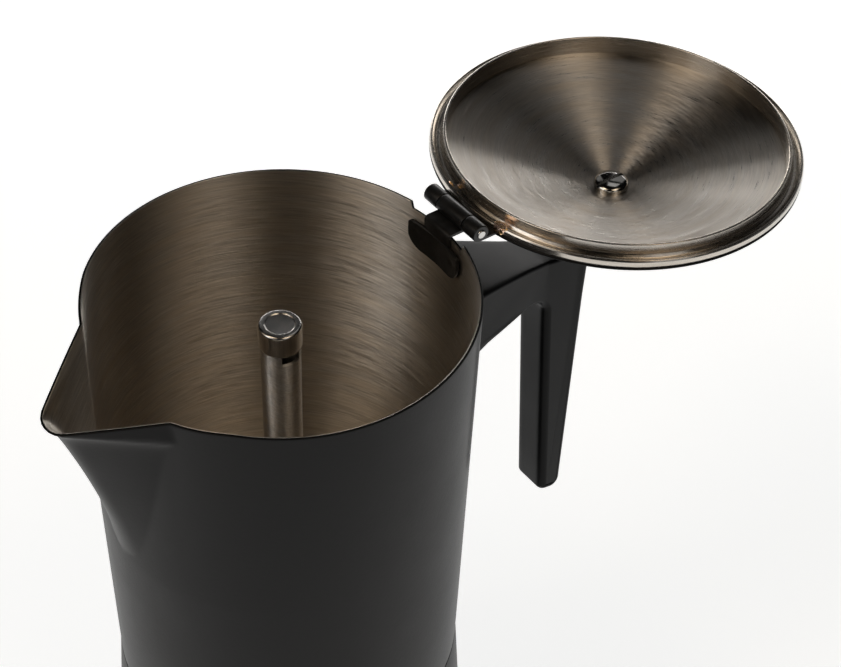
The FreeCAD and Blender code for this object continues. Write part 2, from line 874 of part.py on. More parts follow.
def hinge_bracket():
    """Welded inside the wall, through the rim notch and out to the middle knuckle."""
    sketch = doc.addObject("Sketcher::SketchObject", "hinge_plate_outline")
    sketch.Placement = FreeCAD.Placement(
        FreeCAD.Vector(), FreeCAD.Rotation(FreeCAD.Vector(1, 1, 1), 120))
    top = "rim_height + hinge_lift - knuckle_radius + strap_thickness"
    shoulder = "rim_height - hinge_plate_shoulder"
    foot = "rim_height - hinge_plate_drop"
    corner = f"{foot} + hinge_plate_corner"
    draw_polygon(sketch, [
        ("-1 * strap_half_width", top),
        ("-1 * strap_half_width", shoulder),
        ("-1 * hinge_plate_half_width", shoulder),
        ("-1 * hinge_plate_half_width", corner),
        ("0.3 * hinge_plate_corner - hinge_plate_half_width", f"{corner} - 0.7 * hinge_plate_corner"),
        ("hinge_plate_corner - hinge_plate_half_width", foot),
        ("hinge_plate_half_width - hinge_plate_corner", foot),
        ("hinge_plate_half_width - 0.3 * hinge_plate_corner", f"{corner} - 0.7 * hinge_plate_corner"),
        ("hinge_plate_half_width", corner),
        ("hinge_plate_half_width", shoulder),
        ("strap_half_width", shoulder),
        ("strap_half_width", top),
    ])
    block = doc.addObject("Part::Extrusion", "hinge_plate_block")
    block.Base = sketch
    block.DirMode = "Normal"
    block.Solid = True
    bind(block, {"LengthFwd": "rim_radius"})
    ring_size = {
        "Height": "hinge_plate_drop + 2 * cutter_excess",
        "Placement.Base.z": "rim_height - hinge_plate_drop - cutter_excess",
    }
    outer = primitive("Part::Cylinder", "hinge_ring_outer", {"Radius": "hinge_plate_outer"} | ring_size)
    inner = primitive("Part::Cylinder", "hinge_ring_inner", {"Radius": "hinge_plate_inner"} | ring_size)
    plate = common("hinge_plate", block, cut("hinge_ring", outer, inner))
    strap = primitive("Part::Box", "hinge_strap", {
        "Length": "hinge_reach - hinge_plate_inner",
        "Width": "2 * strap_half_width",
        "Height": "strap_thickness",
        "Placement.Base.x": "hinge_plate_inner",
        "Placement.Base.y": "-1 * strap_half_width",
        "Placement.Base.z": f"{HINGE_HEIGHT} - knuckle_radius",
    })
    knuckle = rod_along_y("middle_knuckle", "knuckle_radius", "-1 * middle_knuckle_half",
                          "2 * middle_knuckle_half")
    whole = fuse("hinge_bracket_blank", [plate, strap, knuckle])
    bore = rod_along_y("middle_bore", "pin_radius", "-1 * barrel_half_length",
                       "2 * barrel_half_length")
    keep(cut("hinge_bracket", whole, bore), "hinge_bracket")


def hinge_pin():
    keep(rod_along_y("hinge_pin", "pin_radius", "-1 * pin_half_length", "2 * pin_half_length"),
         "hinge_pin")


# ---------------------------------------------------------------- handle

def bracket_box(name, front, half_width, half_height):
    """A block on the bracket's centre line, from inside the wall out to a given X."""
    return primitive("Part::Box", name, {
        "Length": f"{front} - handle_start",
        "Width": f"2 * {half_width}",
        "Height": f"2 * {half_height}",
        "Placement.Base.x": "handle_start",
        "Placement.Base.y": f"-1 * {half_width}",
        "Placement.Base.z": f"bracket_height - {half_height}",
    })


def handle_bracket():
    """Foot plate welded to the wall, with a tongue that the handle slides over."""
    plate = bracket_box("bracket_plate", "bracket_plate_front", "bracket_plate_half_width",
                        "bracket_plate_half_height")
    tongue = bracket_box("bracket_tongue", "tongue_front", "tongue_half_width",
                         "tongue_half_height")
    blank = cut("bracket_blank", fuse("bracket_pieces", [plate, tongue]),
                jug_cone("bracket_wall", "0"))
    tapped = primitive("Part::Cylinder", "bracket_thread", {
        "Radius": "handle_screw_radius",
        "Height": "2 * cutter_excess",
        "Placement.Base.x": "handle_screw_reach",
        "Placement.Base.z": "bracket_height - cutter_excess",
    })
    keep(cut("handle_bracket", blank, tapped), "handle_bracket")


def handle():
    """Moulded handle: an arm that rises and flares to the jug, a grip that thins to its foot."""
    body = new_body("handle")
    side = new_sketch(body, "XZ_Plane")
    draw_polygon(side, [
        ("handle_top_bend", "rim_height - handle_top_drop"),
        ("handle_start", "rim_height - handle_root_drop"),
        ("handle_start", "rim_height - handle_arm_underside"),
        ("handle_grip_inner", "rim_height - handle_grip_top"),
        ("handle_foot_inner", "rim_height - handle_foot_drop"),
        ("handle_foot_outer", "rim_height - handle_foot_drop"),
        ("handle_reach", "rim_height - handle_top_drop"),
    ])
    pad(body, side, "2 * handle_root_half_width", symmetric=True)
    crook = (size("handle_grip_inner"), size("rim_height") - size("handle_grip_top"))
    shoulder = (size("handle_reach"), size("rim_height") - size("handle_top_drop"))

    def near(corner):
        def test(edge):
            middle = edge.CenterOfMass
            return math.hypot(middle.x - corner[0], middle.z - corner[1]) < 0.1
        return test

    round_edges(body, "handle_crook_radius", near(crook))
    round_edges(body, "handle_shoulder_radius", near(shoulder))
    for side_sign in (1, -1):
        trim = new_sketch(body, "XY_Plane", "rim_height")
        corners = [
            ("handle_start", "handle_root_half_width"),
            ("handle_flare_end", "handle_width / 2"),
            ("handle_reach + cutter_excess", "handle_width / 2"),
            ("handle_reach + cutter_excess", "handle_root_half_width + cutter_excess"),
            ("handle_start", "handle_root_half_width + cutter_excess"),
        ]
        draw_polygon(trim, [(across, f"{side_sign} * ( {beside} )") for across, beside in corners])
        pocket(body, trim)
    flank = size("handle_width") / 2
    flare_length = size("handle_flare_end") - size("handle_start")

    def along_the_flank(edge):
        middle = edge.CenterOfMass
        share = max(0.0, size("handle_flare_end") - middle.x) / flare_length
        half_width = flank + (size("handle_root_half_width") - flank) * share
        return abs(abs(middle.y) - half_width) < 0.01 and edge.BoundBox.XLength > 0.1

    round_edges(body, "handle_edge_radius", along_the_flank)

    seat = new_sketch(body, "XY_Plane", "rim_height")
    draw_circle(seat, "0", "0", "rim_radius - jug_taper * handle_root_drop + handle_wall_gap")
    pocket(body, seat)
    for half_width, half_height, front in (
        ("bracket_plate_half_width", "bracket_plate_half_height", "bracket_plate_front"),
        ("tongue_half_width", "tongue_half_height", "tongue_front"),
    ):
        socket = new_sketch(body, "YZ_Plane", "handle_start")
        wide = f"{half_width} + socket_gap"
        high = f"{half_height} + socket_gap"
        draw_polygon(socket, [
            (f"-1 * ( {wide} )", f"bracket_height - ( {high} )"),
            (wide, f"bracket_height - ( {high} )"),
            (wide, f"bracket_height + {high}"),
            (f"-1 * ( {wide} )", f"bracket_height + {high}"),
        ])
        pocket(body, socket, f"{front} + socket_gap - handle_start", flip=True)
    for radius, top in (
        ("handle_bore_radius", "handle_screw_seat"),
        ("handle_screw_radius + socket_gap", "handle_screw_top + socket_gap"),
    ):
        bore = new_sketch(body, "XY_Plane", "rim_height - handle_foot_drop")
        draw_circle(bore, "handle_screw_reach", "0", radius)
        pocket(body, bore, f"{top} - rim_height + handle_foot_drop", flip=True)


def handle_screw():
    """Pan-head screw from below, through the arm and into the bracket's tongue."""
    body = turned("handle_screw", [
        ("0", "handle_screw_seat - handle_screw_head_height"),
        ("handle_screw_head_radius - handle_screw_corner", "handle_screw_seat - handle_screw_head_height"),
        ("handle_screw_head_radius",
         "handle_screw_seat - handle_screw_head_height + handle_screw_corner"),
        ("handle_screw_head_radius", "handle_screw_seat"),
        ("handle_screw_radius", "handle_screw_seat"),
        ("handle_screw_radius", "handle_screw_top"),
        ("0", "handle_screw_top"),
    ])
    recess = new_sketch(body, "XY_Plane", "handle_screw_seat - handle_screw_head_height")
    draw_polygon(recess, [
        ("-1 * handle_screw_slot_half_length", "-1 * handle_screw_slot_half_width"),
        ("handle_screw_slot_half_length", "-1 * handle_screw_slot_half_width"),
        ("handle_screw_slot_half_length", "handle_screw_slot_half_width"),
        ("-1 * handle_screw_slot_half_length", "handle_screw_slot_half_width"),
    ])
    pocket(body, recess, "handle_screw_slot_depth", flip=True)
    bind(body, {"Placement.Base.x": "handle_screw_reach"})


# ---------------------------------------------------------------- lid, drawn closed

def swing_open(thing):
    """Turn a piece about the hinge axis from closed to the open stop."""
    thing.Placement = FreeCAD.Placement(
        FreeCAD.Vector(), FreeCAD.Rotation(Y_AXIS, size("lid_open")))
    cosine = "cos( lid_open * 1 deg )"
    sine = "sin( lid_open * 1 deg )"
    bind(thing, {
        "Placement.Base.x": f"hinge_reach * ( 1 - {cosine} ) - ( {HINGE_HEIGHT} ) * {sine}",
        "Placement.Base.z": f"( {HINGE_HEIGHT} ) * ( 1 - {cosine} ) + hinge_reach * {sine}",
    })


def above_rim(words):
    return f"rim_height + {words}"


def lid_cover():
    """Pressed lid: a shallow cone with a flat crown and a turned edge."""
    body = turned("lid_cover", [
        ("lid_hole_radius", above_rim("lid_crown")),
        ("lid_crown_radius", above_rim("lid_crown")),
        ("lid_cone_radius", above_rim("lid_cone_foot")),
        ("lid_radius - 0.4", above_rim("lid_edge_low")),
        ("lid_radius", above_rim("lid_edge_low + 0.3")),
        ("lid_radius - 0.2", above_rim("lid_edge_high")),
        ("lid_cone_radius + 0.5", above_rim("lid_cone_foot + sheet")),
        ("lid_crown_radius", above_rim("lid_crown + sheet")),
        ("lid_hole_radius", above_rim("lid_crown + sheet")),
    ])
    swing_open(body)


def lid_rim():
    """Ring welded under the lid: a skirt that drops into the jug and a beaded flange."""
    body = turned("lid_rim", [
        ("skirt_inner_radius", above_rim("lid_cone_foot - 0.1")),
        ("skirt_inner_radius", "rim_height - skirt_drop"),
        ("skirt_outer_radius", "rim_height - skirt_drop"),
        ("skirt_outer_radius + 0.1", above_rim("0.5 * flange_face")),
        ("skirt_outer_radius + 0.8", above_rim("flange_face")),
        ("lid_radius - 1.9", above_rim("flange_face")),
        ("lid_radius - 1.4", above_rim("bead_face + 0.5")),
        ("lid_radius - 0.9", above_rim("bead_face")),
        ("lid_radius - 0.5", above_rim("bead_face")),
        ("lid_radius - 0.1", above_rim("bead_face + 0.5")),
        ("lid_radius", above_rim("lid_edge_low - 0.6")),
        ("lid_radius - 0.4", above_rim("lid_edge_low - 0.02")),
    ])
    swing_open(body)


def lid_leaf():
    """Hinge leaf on the lid's edge, with the two outer knuckles."""
    inner_end = "middle_knuckle_half + knuckle_gap"
    plate = primitive("Part::Box", "leaf_plate", {
        "Length": "leaf_length",
        "Width": "2 * leaf_half_width",
        "Height": "leaf_thickness",
        "Placement.Base.x": "hinge_reach - leaf_length",
        "Placement.Base.y": "-1 * leaf_half_width",
        "Placement.Base.z": f"{HINGE_HEIGHT} + knuckle_radius - leaf_thickness",
    })
    knuckles = [
        rod_along_y("near_knuckle", "knuckle_radius", "-1 * barrel_half_length",
                    f"barrel_half_length - ( {inner_end} )"),
        rod_along_y("far_knuckle", "knuckle_radius", inner_end,
                    f"barrel_half_length - ( {inner_end} )"),
    ]
    blank = fuse("leaf_blank", [plate] + knuckles)
    lid_edge = primitive("Part::Cylinder", "leaf_lid_edge", {
        "Radius": "lid_radius + leaf_weld_gap",
        "Height": "2 * cutter_excess",
        "Placement.Base.z": "rim_height - cutter_excess",
    })
    window = primitive("Part::Box", "leaf_window", {
        "Length": "cutter_excess",
        "Width": f"2 * ( {inner_end} )",
        "Height": "2 * cutter_excess",
        "Placement.Base.x": "leaf_bridge",
        "Placement.Base.y": f"-1 * ( {inner_end} )",
        "Placement.Base.z": "rim_height - cutter_excess",
    })
    bore = rod_along_y("leaf_bore", "pin_radius + pin_clearance", "-1 * pin_half_length",
                       "2 * pin_half_length")
    shaped = cut("leaf_shaped", blank, fuse("leaf_cutters", [lid_edge, window, bore]))
    keep(shaped, "lid_leaf")
    swing_open(shaped)


def knob_washer():
    body = turned("knob_washer", [
        ("lid_hole_radius", above_rim("lid_crown + sheet")),
        ("knob_washer_radius", above_rim("lid_crown + sheet")),
        ("knob_washer_radius", above_rim("lid_crown + sheet + knob_washer_thickness")),
        ("lid_hole_radius", above_rim("lid_crown + sheet + knob_washer_thickness")),
    ])
    swing_open(body)


KNOB_FOOT = "lid_crown + sheet + knob_washer_thickness"


def lid_knob():
    """Round knob with a waist, hollow for its threaded insert."""
    foot = above_rim(KNOB_FOOT)
    body = turned("lid_knob", [
        ("insert_radius", foot),
        ("knob_neck_radius", foot),
        ("knob_neck_radius", f"{foot} + 0.25 * knob_height"),
        ("knob_top_radius", f"{foot} + 0.7 * knob_height"),
        ("knob_top_radius", f"{foot} + knob_height"),
        ("0", f"{foot} + knob_height"),
        ("0", f"{foot} + insert_start + insert_length"),
        ("insert_radius", f"{foot} + insert_start + insert_length"),
    ])
    roof = value_of(sized(f"{foot} + knob_height"))

    def at_top(edge):
        return isinstance(edge.Curve, Part.Circle) and abs(edge.CenterOfMass.z - roof) < 0.01

    round_edges(body, "knob_round", at_top)
    swing_open(body)


def knob_insert():
    """Threaded bush moulded into the knob."""
    foot = above_rim(KNOB_FOOT)
    body = turned("knob_insert", [
        ("insert_bore", f"{foot} + insert_start"),
        ("insert_radius", f"{foot} + insert_start"),
        ("insert_radius", f"{foot} + insert_start + insert_length"),
        ("insert_bore", f"{foot} + insert_start + insert_length"),
    ])
    swing_open(body)


def knob_screw():
    """Slotted pan-head screw, seen in the middle of the lid's inside."""
    seat = above_rim("lid_crown")
    body = turned("knob_screw", [
        ("0", f"{seat} - knob_screw_head_height"),
        ("0.55 * knob_screw_head_radius", f"{seat} - knob_screw_head_height"),
        ("0.88 * knob_screw_head_radius", f"{seat} - 0.75 * knob_screw_head_height"),
        ("knob_screw_head_radius", f"{seat} - 0.4 * knob_screw_head_height"),
        ("knob_screw_head_radius", seat),
        ("knob_screw_radius", seat),
        ("knob_screw_radius", f"{seat} + knob_screw_length"),
        ("0", f"{seat} + knob_screw_length"),
    ])
    slot = new_sketch(body, "XY_Plane", f"{seat} - knob_screw_head_height")
    draw_polygon(slot, [
        ("-1 * cutter_excess", "-0.5 * knob_screw_slot_width"),
        ("cutter_excess", "-0.5 * knob_screw_slot_width"),
        ("cutter_excess", "0.5 * knob_screw_slot_width"),
        ("-1 * cutter_excess", "0.5 * knob_screw_slot_width"),
    ])
    pocket(body, slot, "knob_screw_slot_depth", flip=True)
    swing_open(body)


# ---------------------------------------------------------------- build, check, export

for build in (
    boiler_base, boiler_floor, boiler_shell, boiler_shoulder, boiler_neck,
    valve_body, valve_washer, valve_nut, valve_cap, valve_pin, valve_spring,
    funnel_basket, funnel_cone, funnel_stem, funnel_strainer, gasket, filter_plate,
    jug_wall, jug_floor, jug_collar, column_tube, column_cap,
    hinge_bracket, hinge_pin, handle_bracket, handle, handle_screw,
    lid_cover, lid_rim, lid_leaf, knob_washer, lid_knob, knob_insert, knob_screw,
):
    build()

doc.recompute()

for thing in doc.Objects:
    if "Invalid" in thing.State or "Error" in thing.State:
        raise RuntimeError(f"{thing.Label} failed: {thing.State}")
for node in nodes:
    if node.Shape.isNull() or not node.Shape.isValid():
        raise RuntimeError(f"{node.Label} has no valid shape")
    if len(node.Shape.Solids) != 1:
        raise RuntimeError(f"{node.Label} has {len(node.Shape.Solids)} solids")

os.makedirs("parts", exist_ok=True)
for node in nodes:
    node.Shape.exportStep(f"parts/{node.Label}.step")
    box = node.Shape.BoundBox
    print(f"{node.Label:18s} {node.Shape.Volume:10.1f} mm3  "
          f"x {box.XMin:7.2f} {box.XMax:7.2f}  y {box.YMin:7.2f} {box.YMax:7.2f}  "
          f"z {box.ZMin:7.2f} {box.ZMax:7.2f}")
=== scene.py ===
import json
import math

import bpy
import bmesh
from mathutils import Matrix, Vector, noise


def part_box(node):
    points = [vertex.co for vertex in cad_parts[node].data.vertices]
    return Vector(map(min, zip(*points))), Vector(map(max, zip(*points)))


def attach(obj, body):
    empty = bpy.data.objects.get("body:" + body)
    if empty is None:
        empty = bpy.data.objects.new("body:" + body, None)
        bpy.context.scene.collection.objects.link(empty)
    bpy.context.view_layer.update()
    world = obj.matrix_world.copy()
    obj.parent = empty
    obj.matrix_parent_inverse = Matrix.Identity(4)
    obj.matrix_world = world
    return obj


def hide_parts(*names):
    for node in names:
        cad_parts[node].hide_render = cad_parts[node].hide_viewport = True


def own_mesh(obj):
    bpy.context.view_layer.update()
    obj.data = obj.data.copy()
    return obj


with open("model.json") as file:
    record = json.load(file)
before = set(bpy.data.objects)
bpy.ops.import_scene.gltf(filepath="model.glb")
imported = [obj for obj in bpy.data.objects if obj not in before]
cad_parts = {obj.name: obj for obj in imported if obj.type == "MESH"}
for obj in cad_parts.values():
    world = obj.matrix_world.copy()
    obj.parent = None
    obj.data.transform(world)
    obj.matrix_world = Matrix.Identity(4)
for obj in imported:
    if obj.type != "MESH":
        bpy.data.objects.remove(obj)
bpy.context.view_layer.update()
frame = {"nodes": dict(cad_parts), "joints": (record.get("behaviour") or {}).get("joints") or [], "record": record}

MM = 0.001
TAU = 2 * math.pi

# ---------------------------------------------------------------- sizes read from the frame

joints = {joint["name"]: joint for joint in frame["joints"]}
wall_low, wall_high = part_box("jug_wall")
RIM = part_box("column_cap")[1].z + 9.25 * MM
RIM_RADIUS = wall_high.x
SEAM = wall_low.z
HINGE = Vector(joints["lid_hinge"]["pos_m"])
LID_TURN = -math.radians(joints["lid_hinge"]["range_deg"][0])

# Pieces of the lid are made closed, about the pot's own axis, and this opens them.
OPEN = (Matrix.Translation(HINGE) @ Matrix.Rotation(LID_TURN, 4, "Y")
        @ Matrix.Translation(-HINGE))


# ---------------------------------------------------------------- mesh tools

def piece(name, bm, body, stands_for, materials, turn=None, sharp=40):
    """Make the object, put it on its body and hide the CAD nodes it stands for."""
    bmesh.ops.remove_doubles(bm, verts=bm.verts, dist=1e-7)
    bmesh.ops.recalc_face_normals(bm, faces=bm.faces)
    mesh = bpy.data.meshes.new(name)
    bm.to_mesh(mesh)
    bm.free()
    for polygon in mesh.polygons:
        polygon.use_smooth = True
    mesh.set_sharp_from_angle(angle=math.radians(sharp))
    for material in materials:
        mesh.materials.append(material)
    thing = bpy.data.objects.new(name, mesh)
    bpy.context.scene.collection.objects.link(thing)
    if turn is not None:
        thing.matrix_world = turn
    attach(thing, body)
    if stands_for:
        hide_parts(*stands_for)
    return thing


def rounded(corners, steps=5):
    """A closed outline whose corners (across, up, radius) are turned into arcs."""
    outline = []
    count = len(corners)
    for i, (across, up, radius) in enumerate(corners):
        here = Vector((across, up))
        if radius == 0:
            outline.append(here)
            continue
        back = Vector(corners[i - 1][:2]) - here
        on = Vector(corners[(i + 1) % count][:2]) - here
        half = back.angle(on) / 2
        reach = min(radius / math.tan(half), 0.49 * back.length, 0.49 * on.length)
        radius = reach * math.tan(half)
        inwards = (back.normalized() + on.normalized()).normalized()
        centre = here + inwards * radius / math.sin(half)
        start = here + back.normalized() * reach - centre
        end = here + on.normalized() * reach - centre
        turn = math.atan2(start.x * end.y - start.y * end.x, start.dot(end))
        for k in range(steps + 1):
            angle = turn * k / steps
            cosine, sine = math.cos(angle), math.sin(angle)
            spoke = Vector((start.x * cosine - start.y * sine, start.x * sine + start.y * cosine))
            outline.append(centre + spoke)
    return outline


def lathe(outline, segments=160, material=lambda radius, height: 0):
    """Turn a closed outline of (radius, height) about Z."""
    bm = bmesh.new()
    rings = []
    for point in outline:
        radius, height = point
        if abs(radius) < 1e-8:
            rings.append([bm.verts.new((0, 0, height))] * segments)
            continue
        ring = []
        for k in range(segments):
            angle = TAU * k / segments
            ring.append(bm.verts.new((radius * math.cos(angle), radius * math.sin(angle), height)))
        rings.append(ring)
    count = len(rings)
    for i in range(count):
        low, high = rings[i], rings[(i + 1) % count]
        middle = (outline[i] + outline[(i + 1) % count]) / 2
        for k in range(segments):
            around = (k + 1) % segments
            corners = []
            for vert in (low[k], low[around], high[around], high[k]):
                if vert not in corners:
                    corners.append(vert)
            if len(corners) > 2:
                face = bm.faces.new(corners)
                face.material_index = material(middle.x, middle.y)
    return bm


def shrink(outline, distances):
    """Move each corner of a closed outline inwards by its own distance."""
    area = sum(a.x * b.y - b.x * a.y for a, b in zip(outline, outline[1:] + outline[:1]))
    side = 1 if area > 0 else -1
    moved = []
    for i, here in enumerate(outline):
        back = (here - outline[i - 1]).normalized()
        on = (outline[(i + 1) % len(outline)] - here).normalized()
        normal = Vector((-(back.y + on.y), back.x + on.x)).normalized() * side
        lean = max(normal.dot(Vector((-on.y, on.x)) * side), 0.5)
        moved.append(here + normal * distances[i] / lean)
    return moved


def plank(outline, low, high, rounding, bm=None, steps=4):
    """Push an outline of (x, z) along Y from low to high, with its long edges rounded.

    rounding is one radius, or a function of the outline's point."""
    bm = bm or bmesh.new()
    radii = [rounding(point) if callable(rounding) else rounding for point in outline]
    rows = []
    for k in range(steps + 1):
        angle = math.radians(90) * k / steps
        rows.append(([r * (1 - math.sin(angle)) for r in radii],
                     [r * (1 - math.cos(angle)) for r in radii]))
    rings = []
    for end, sign in ((low, 1), (high, -1)):
        order = rows if sign == 1 else rows[::-1]
        for inwards, along in order:
            ring = shrink(outline, inwards)
            rings.append([bm.verts.new((point.x, end + sign * shift, point.y))
                          for point, shift in zip(ring, along)])
    for first, second in zip(rings, rings[1:]):
        for k in range(len(first)):
            on = (k + 1) % len(first)
            bm.faces.new((first[k], first[on], second[on], second[k]))
    for ring in (rings[0], rings[-1]):
        flat = [Vector((vert.co.x, vert.co.z)) for vert in ring]
        holding = [bm.verts.new((point.x, ring[0].co.y, point.y))
                   for point in shrink(flat, [0.12 * MM] * len(flat))]
        for k in range(len(ring)):
            on = (k + 1) % len(ring)
            bm.faces.new((ring[k], ring[on], holding[on], holding[k]))
        bm.faces.new(holding)
    return bm


# ---------------------------------------------------------------- materials

class Recipe:
    """A small helper for writing a node material as code."""

    def __init__(self, name):
        self.material = bpy.data.materials.new(name)
        self.material.use_nodes = True
        self.tree = self.material.node_tree
        self.shader = self.tree.nodes["Principled BSDF"]

    def set(self, **values):
        for name, value in values.items():
            self.shader.inputs[name.replace("_", " ")].default_value = value

    def node(self, kind, inputs=None, **settings):
        made = self.tree.nodes.new(kind)
        for name, value in settings.items():
            setattr(made, name, value)
        for socket, value in (inputs or {}).items():
            self.feed(made.inputs[socket], value)
        return made

    def feed(self, socket, value):
        if isinstance(value, bpy.types.NodeSocket):
            self.tree.links.new(value, socket)
        else:
            socket.default_value = value

    def into(self, name, value):
        self.feed(self.shader.inputs[name], value)

    def place(self):
        return self.node("ShaderNodeTexCoord").outputs["Object"]

    def scaled(self, vector, factors):
        return self.node("ShaderNodeVectorMath", {0: vector, 1: factors},
                         operation="MULTIPLY").outputs[0]

    def math(self, operation, first, second=0.0, third=0.0):
        return self.node("ShaderNodeMath", {0: first, 1: second, 2: third},
                         operation=operation).outputs[0]

    def noise(self, vector, scale, detail, rough):
        return self.node("ShaderNodeTexNoise", {
            "Vector": vector, "Scale": scale, "Detail": detail,
            "Roughness": rough}).outputs["Fac"]

    def ramp(self, value, low, high, bottom=0.0, top=1.0):
        return self.node("ShaderNodeMapRange", {
            "Value": value, "From Min": low, "From Max": high,
            "To Min": bottom, "To Max": top}).outputs["Result"]

    def mix(self, share, first, second):
        return self.node("ShaderNodeMix", {0: share, 6: first, 7: second},
                         data_type="RGBA").outputs[2]

    def bump(self, height, strength, distance):
        return self.node("ShaderNodeBump", {
            "Height": height, "Strength": strength, "Distance": distance}).outputs["Normal"]


def rgb(red, green, blue):
    return (red, green, blue, 1.0)


def round_axis(recipe):
    """Position split into a direction about the vertical axis, a radius and a height."""
    place = recipe.place()
    flat = recipe.scaled(place, (1.0, 1.0, 0.0))
    spoke = recipe.node("ShaderNodeVectorMath", {0: flat}, operation="NORMALIZE").outputs[0]
    radius = recipe.node("ShaderNodeVectorMath", {0: flat}, operation="LENGTH").outputs["Value"]
    height = recipe.node("ShaderNodeSeparateXYZ", {0: place}).outputs[2]
    return spoke, radius, height


def brushing(recipe, spoke, across, stretch, count):
    """Fine grooves that run round the axis: noise drawn out along the spoke's circle."""
    drawn = recipe.scaled(spoke, (stretch, stretch, 0.0))
    spread = recipe.node("ShaderNodeCombineXYZ", {2: recipe.math("MULTIPLY", across, count)})
    return recipe.node("ShaderNodeVectorMath", {0: drawn, 1: spread.outputs[0]},
                       operation="ADD").outputs[0]


GROOVE_RISE = 3.5 * MM
GROOVE_FALL = 4.5 * MM


def brushed_steel(name, along, colour=(0.74, 0.70, 0.648), roughness=0.34, anisotropy=0.97,
                  depth=0.2):
    """Steel brushed round the vertical axis; along is "height" on a wall, "radius" on a disc.

    Two sets of grooves lean a little against each other, as strokes of a brush do."""
    recipe = Recipe(name)
    spoke, radius, height = round_axis(recipe)
    across = height if along == "height" else radius
    turned = recipe.node("ShaderNodeSeparateXYZ", {0: spoke})
    rising = recipe.math("MULTIPLY_ADD", turned.outputs[0], GROOVE_RISE, across)
    falling = recipe.math("MULTIPLY_ADD", turned.outputs[1], -GROOVE_FALL, across)
    fine = recipe.noise(brushing(recipe, spoke, rising, 6.0, 4200.0), 1.0, 2.0, 0.6)
    medium = recipe.noise(brushing(recipe, spoke, falling, 3.2, 1500.0), 1.0, 3.0, 0.65)
    broad = recipe.noise(brushing(recipe, spoke, across, 0.9, 330.0), 1.0, 4.0, 0.6)
    blend = recipe.math("ADD", recipe.math("MULTIPLY", fine, 0.5),
                        recipe.math("MULTIPLY", medium, 0.5))
    grain = recipe.ramp(blend, 0.36, 0.64)
    dark = rgb(*(0.66 * part for part in colour))
    colours = recipe.mix(grain, dark, rgb(*colour))
    stained = recipe.mix(recipe.ramp(broad, 0.35, 0.75, 0.0, 0.35), colours,
                         rgb(colour[0] * 0.86, colour[1] * 0.76, colour[2] * 0.62))
    recipe.into("Base Color", stained)
    recipe.into("Roughness", recipe.ramp(recipe.math("ADD", grain, broad), 0.5, 1.5,
                                         roughness * 0.8, roughness * 1.35))
    recipe.set(Metallic=1.0, Anisotropic=anisotropy, Anisotropic_Rotation=0.25)
    sideways = recipe.node("ShaderNodeVectorMath", {0: (0.0, 0.0, 1.0), 1: spoke},
                           operation="CROSS_PRODUCT").outputs[0]
    tangent = recipe.node("ShaderNodeVectorTransform", {0: sideways}, vector_type="VECTOR",
                          convert_from="OBJECT", convert_to="WORLD").outputs[0]
    recipe.into("Tangent", tangent)
    recipe.into("Normal", recipe.bump(blend, depth, 0.00015))
    return recipe.material


def lacquer(name):
    """Satin black enamel over steel, with a faint orange peel and dust-fine variation."""
    recipe = Recipe(name)
    place = recipe.place()
    peel = recipe.noise(place, 900.0, 2.0, 0.5)
    haze = recipe.noise(place, 60.0, 4.0, 0.6)
    speck = recipe.noise(place, 5200.0, 1.0, 0.5)
    recipe.into("Base Color", recipe.mix(recipe.ramp(haze, 0.3, 0.7), rgb(0.0020, 0.0020, 0.0021),
                                         rgb(0.0034, 0.0033, 0.0034)))
    recipe.into("Roughness", recipe.ramp(recipe.math("ADD", haze, speck), 0.6, 1.4, 0.46, 0.56))
    recipe.set(IOR=1.21, Coat_Weight=0.2, Coat_Roughness=0.16, Coat_IOR=1.3)
    recipe.into("Normal", recipe.bump(peel, 0.05, 0.0004))
    return recipe.material


def hinge_black(name):
    """Blackened steel of the hinge, a little rubbed."""
    recipe = Recipe(name)
    place = recipe.place()
    grain = recipe.noise(place, 1500.0, 4.0, 0.65)
    rub = recipe.noise(place, 260.0, 3.0, 0.6)
    recipe.into("Base Color", recipe.mix(recipe.ramp(rub, 0.45, 0.8), rgb(0.012, 0.012, 0.012),
                                         rgb(0.035, 0.034, 0.033)))
    recipe.into("Roughness", recipe.ramp(grain, 0.3, 0.7, 0.28, 0.42))
    recipe.set(Metallic=0.35)
    recipe.into("Normal", recipe.bump(grain, 0.12, 0.0001))
    return recipe.material


def polished(name, colour=(0.64, 0.63, 0.61), roughness=0.1):
    """Bright turned metal with faint smears and fine turning marks."""
    recipe = Recipe(name)
    place = recipe.place()
    smear = recipe.noise(place, 420.0, 3.0, 0.6)
    fine = recipe.noise(recipe.scaled(place, (1.0, 1.0, 6.0)), 2400.0, 2.0, 0.5)
    recipe.into("Base Color", recipe.mix(recipe.ramp(smear, 0.3, 0.7), rgb(*colour),
                                         rgb(*(0.85 * part for part in colour))))
    recipe.into("Roughness", recipe.ramp(recipe.math("ADD", smear, fine), 0.6, 1.4,
                                         roughness * 0.7, roughness * 1.6))
    recipe.set(Metallic=1.0)
    recipe.into("Normal", recipe.bump(fine, 0.06, 0.00005))
    return recipe.material


def moulded(name, colour, roughness=0.5, grain=0.25, scale=2600.0, ior=1.45):
    """Moulded plastic or rubber with a fine spark texture and a slightly rubbed bloom."""
    recipe = Recipe(name)
    place = recipe.place()
    spark = recipe.noise(place, scale, 3.0, 0.6)
    cloud = recipe.noise(place, 70.0, 4.0, 0.6)
    recipe.into("Base Color", recipe.mix(recipe.ramp(cloud, 0.3, 0.7), rgb(*colour),
                                         rgb(*(1.35 * part for part in colour))))
    recipe.into("Roughness", recipe.ramp(recipe.math("ADD", spark, cloud), 0.6, 1.4,
                                         roughness * 0.85, roughness * 1.2))
    recipe.set(IOR=ior)
    recipe.into("Normal", recipe.bump(spark, grain, 0.00012))
    return recipe.material


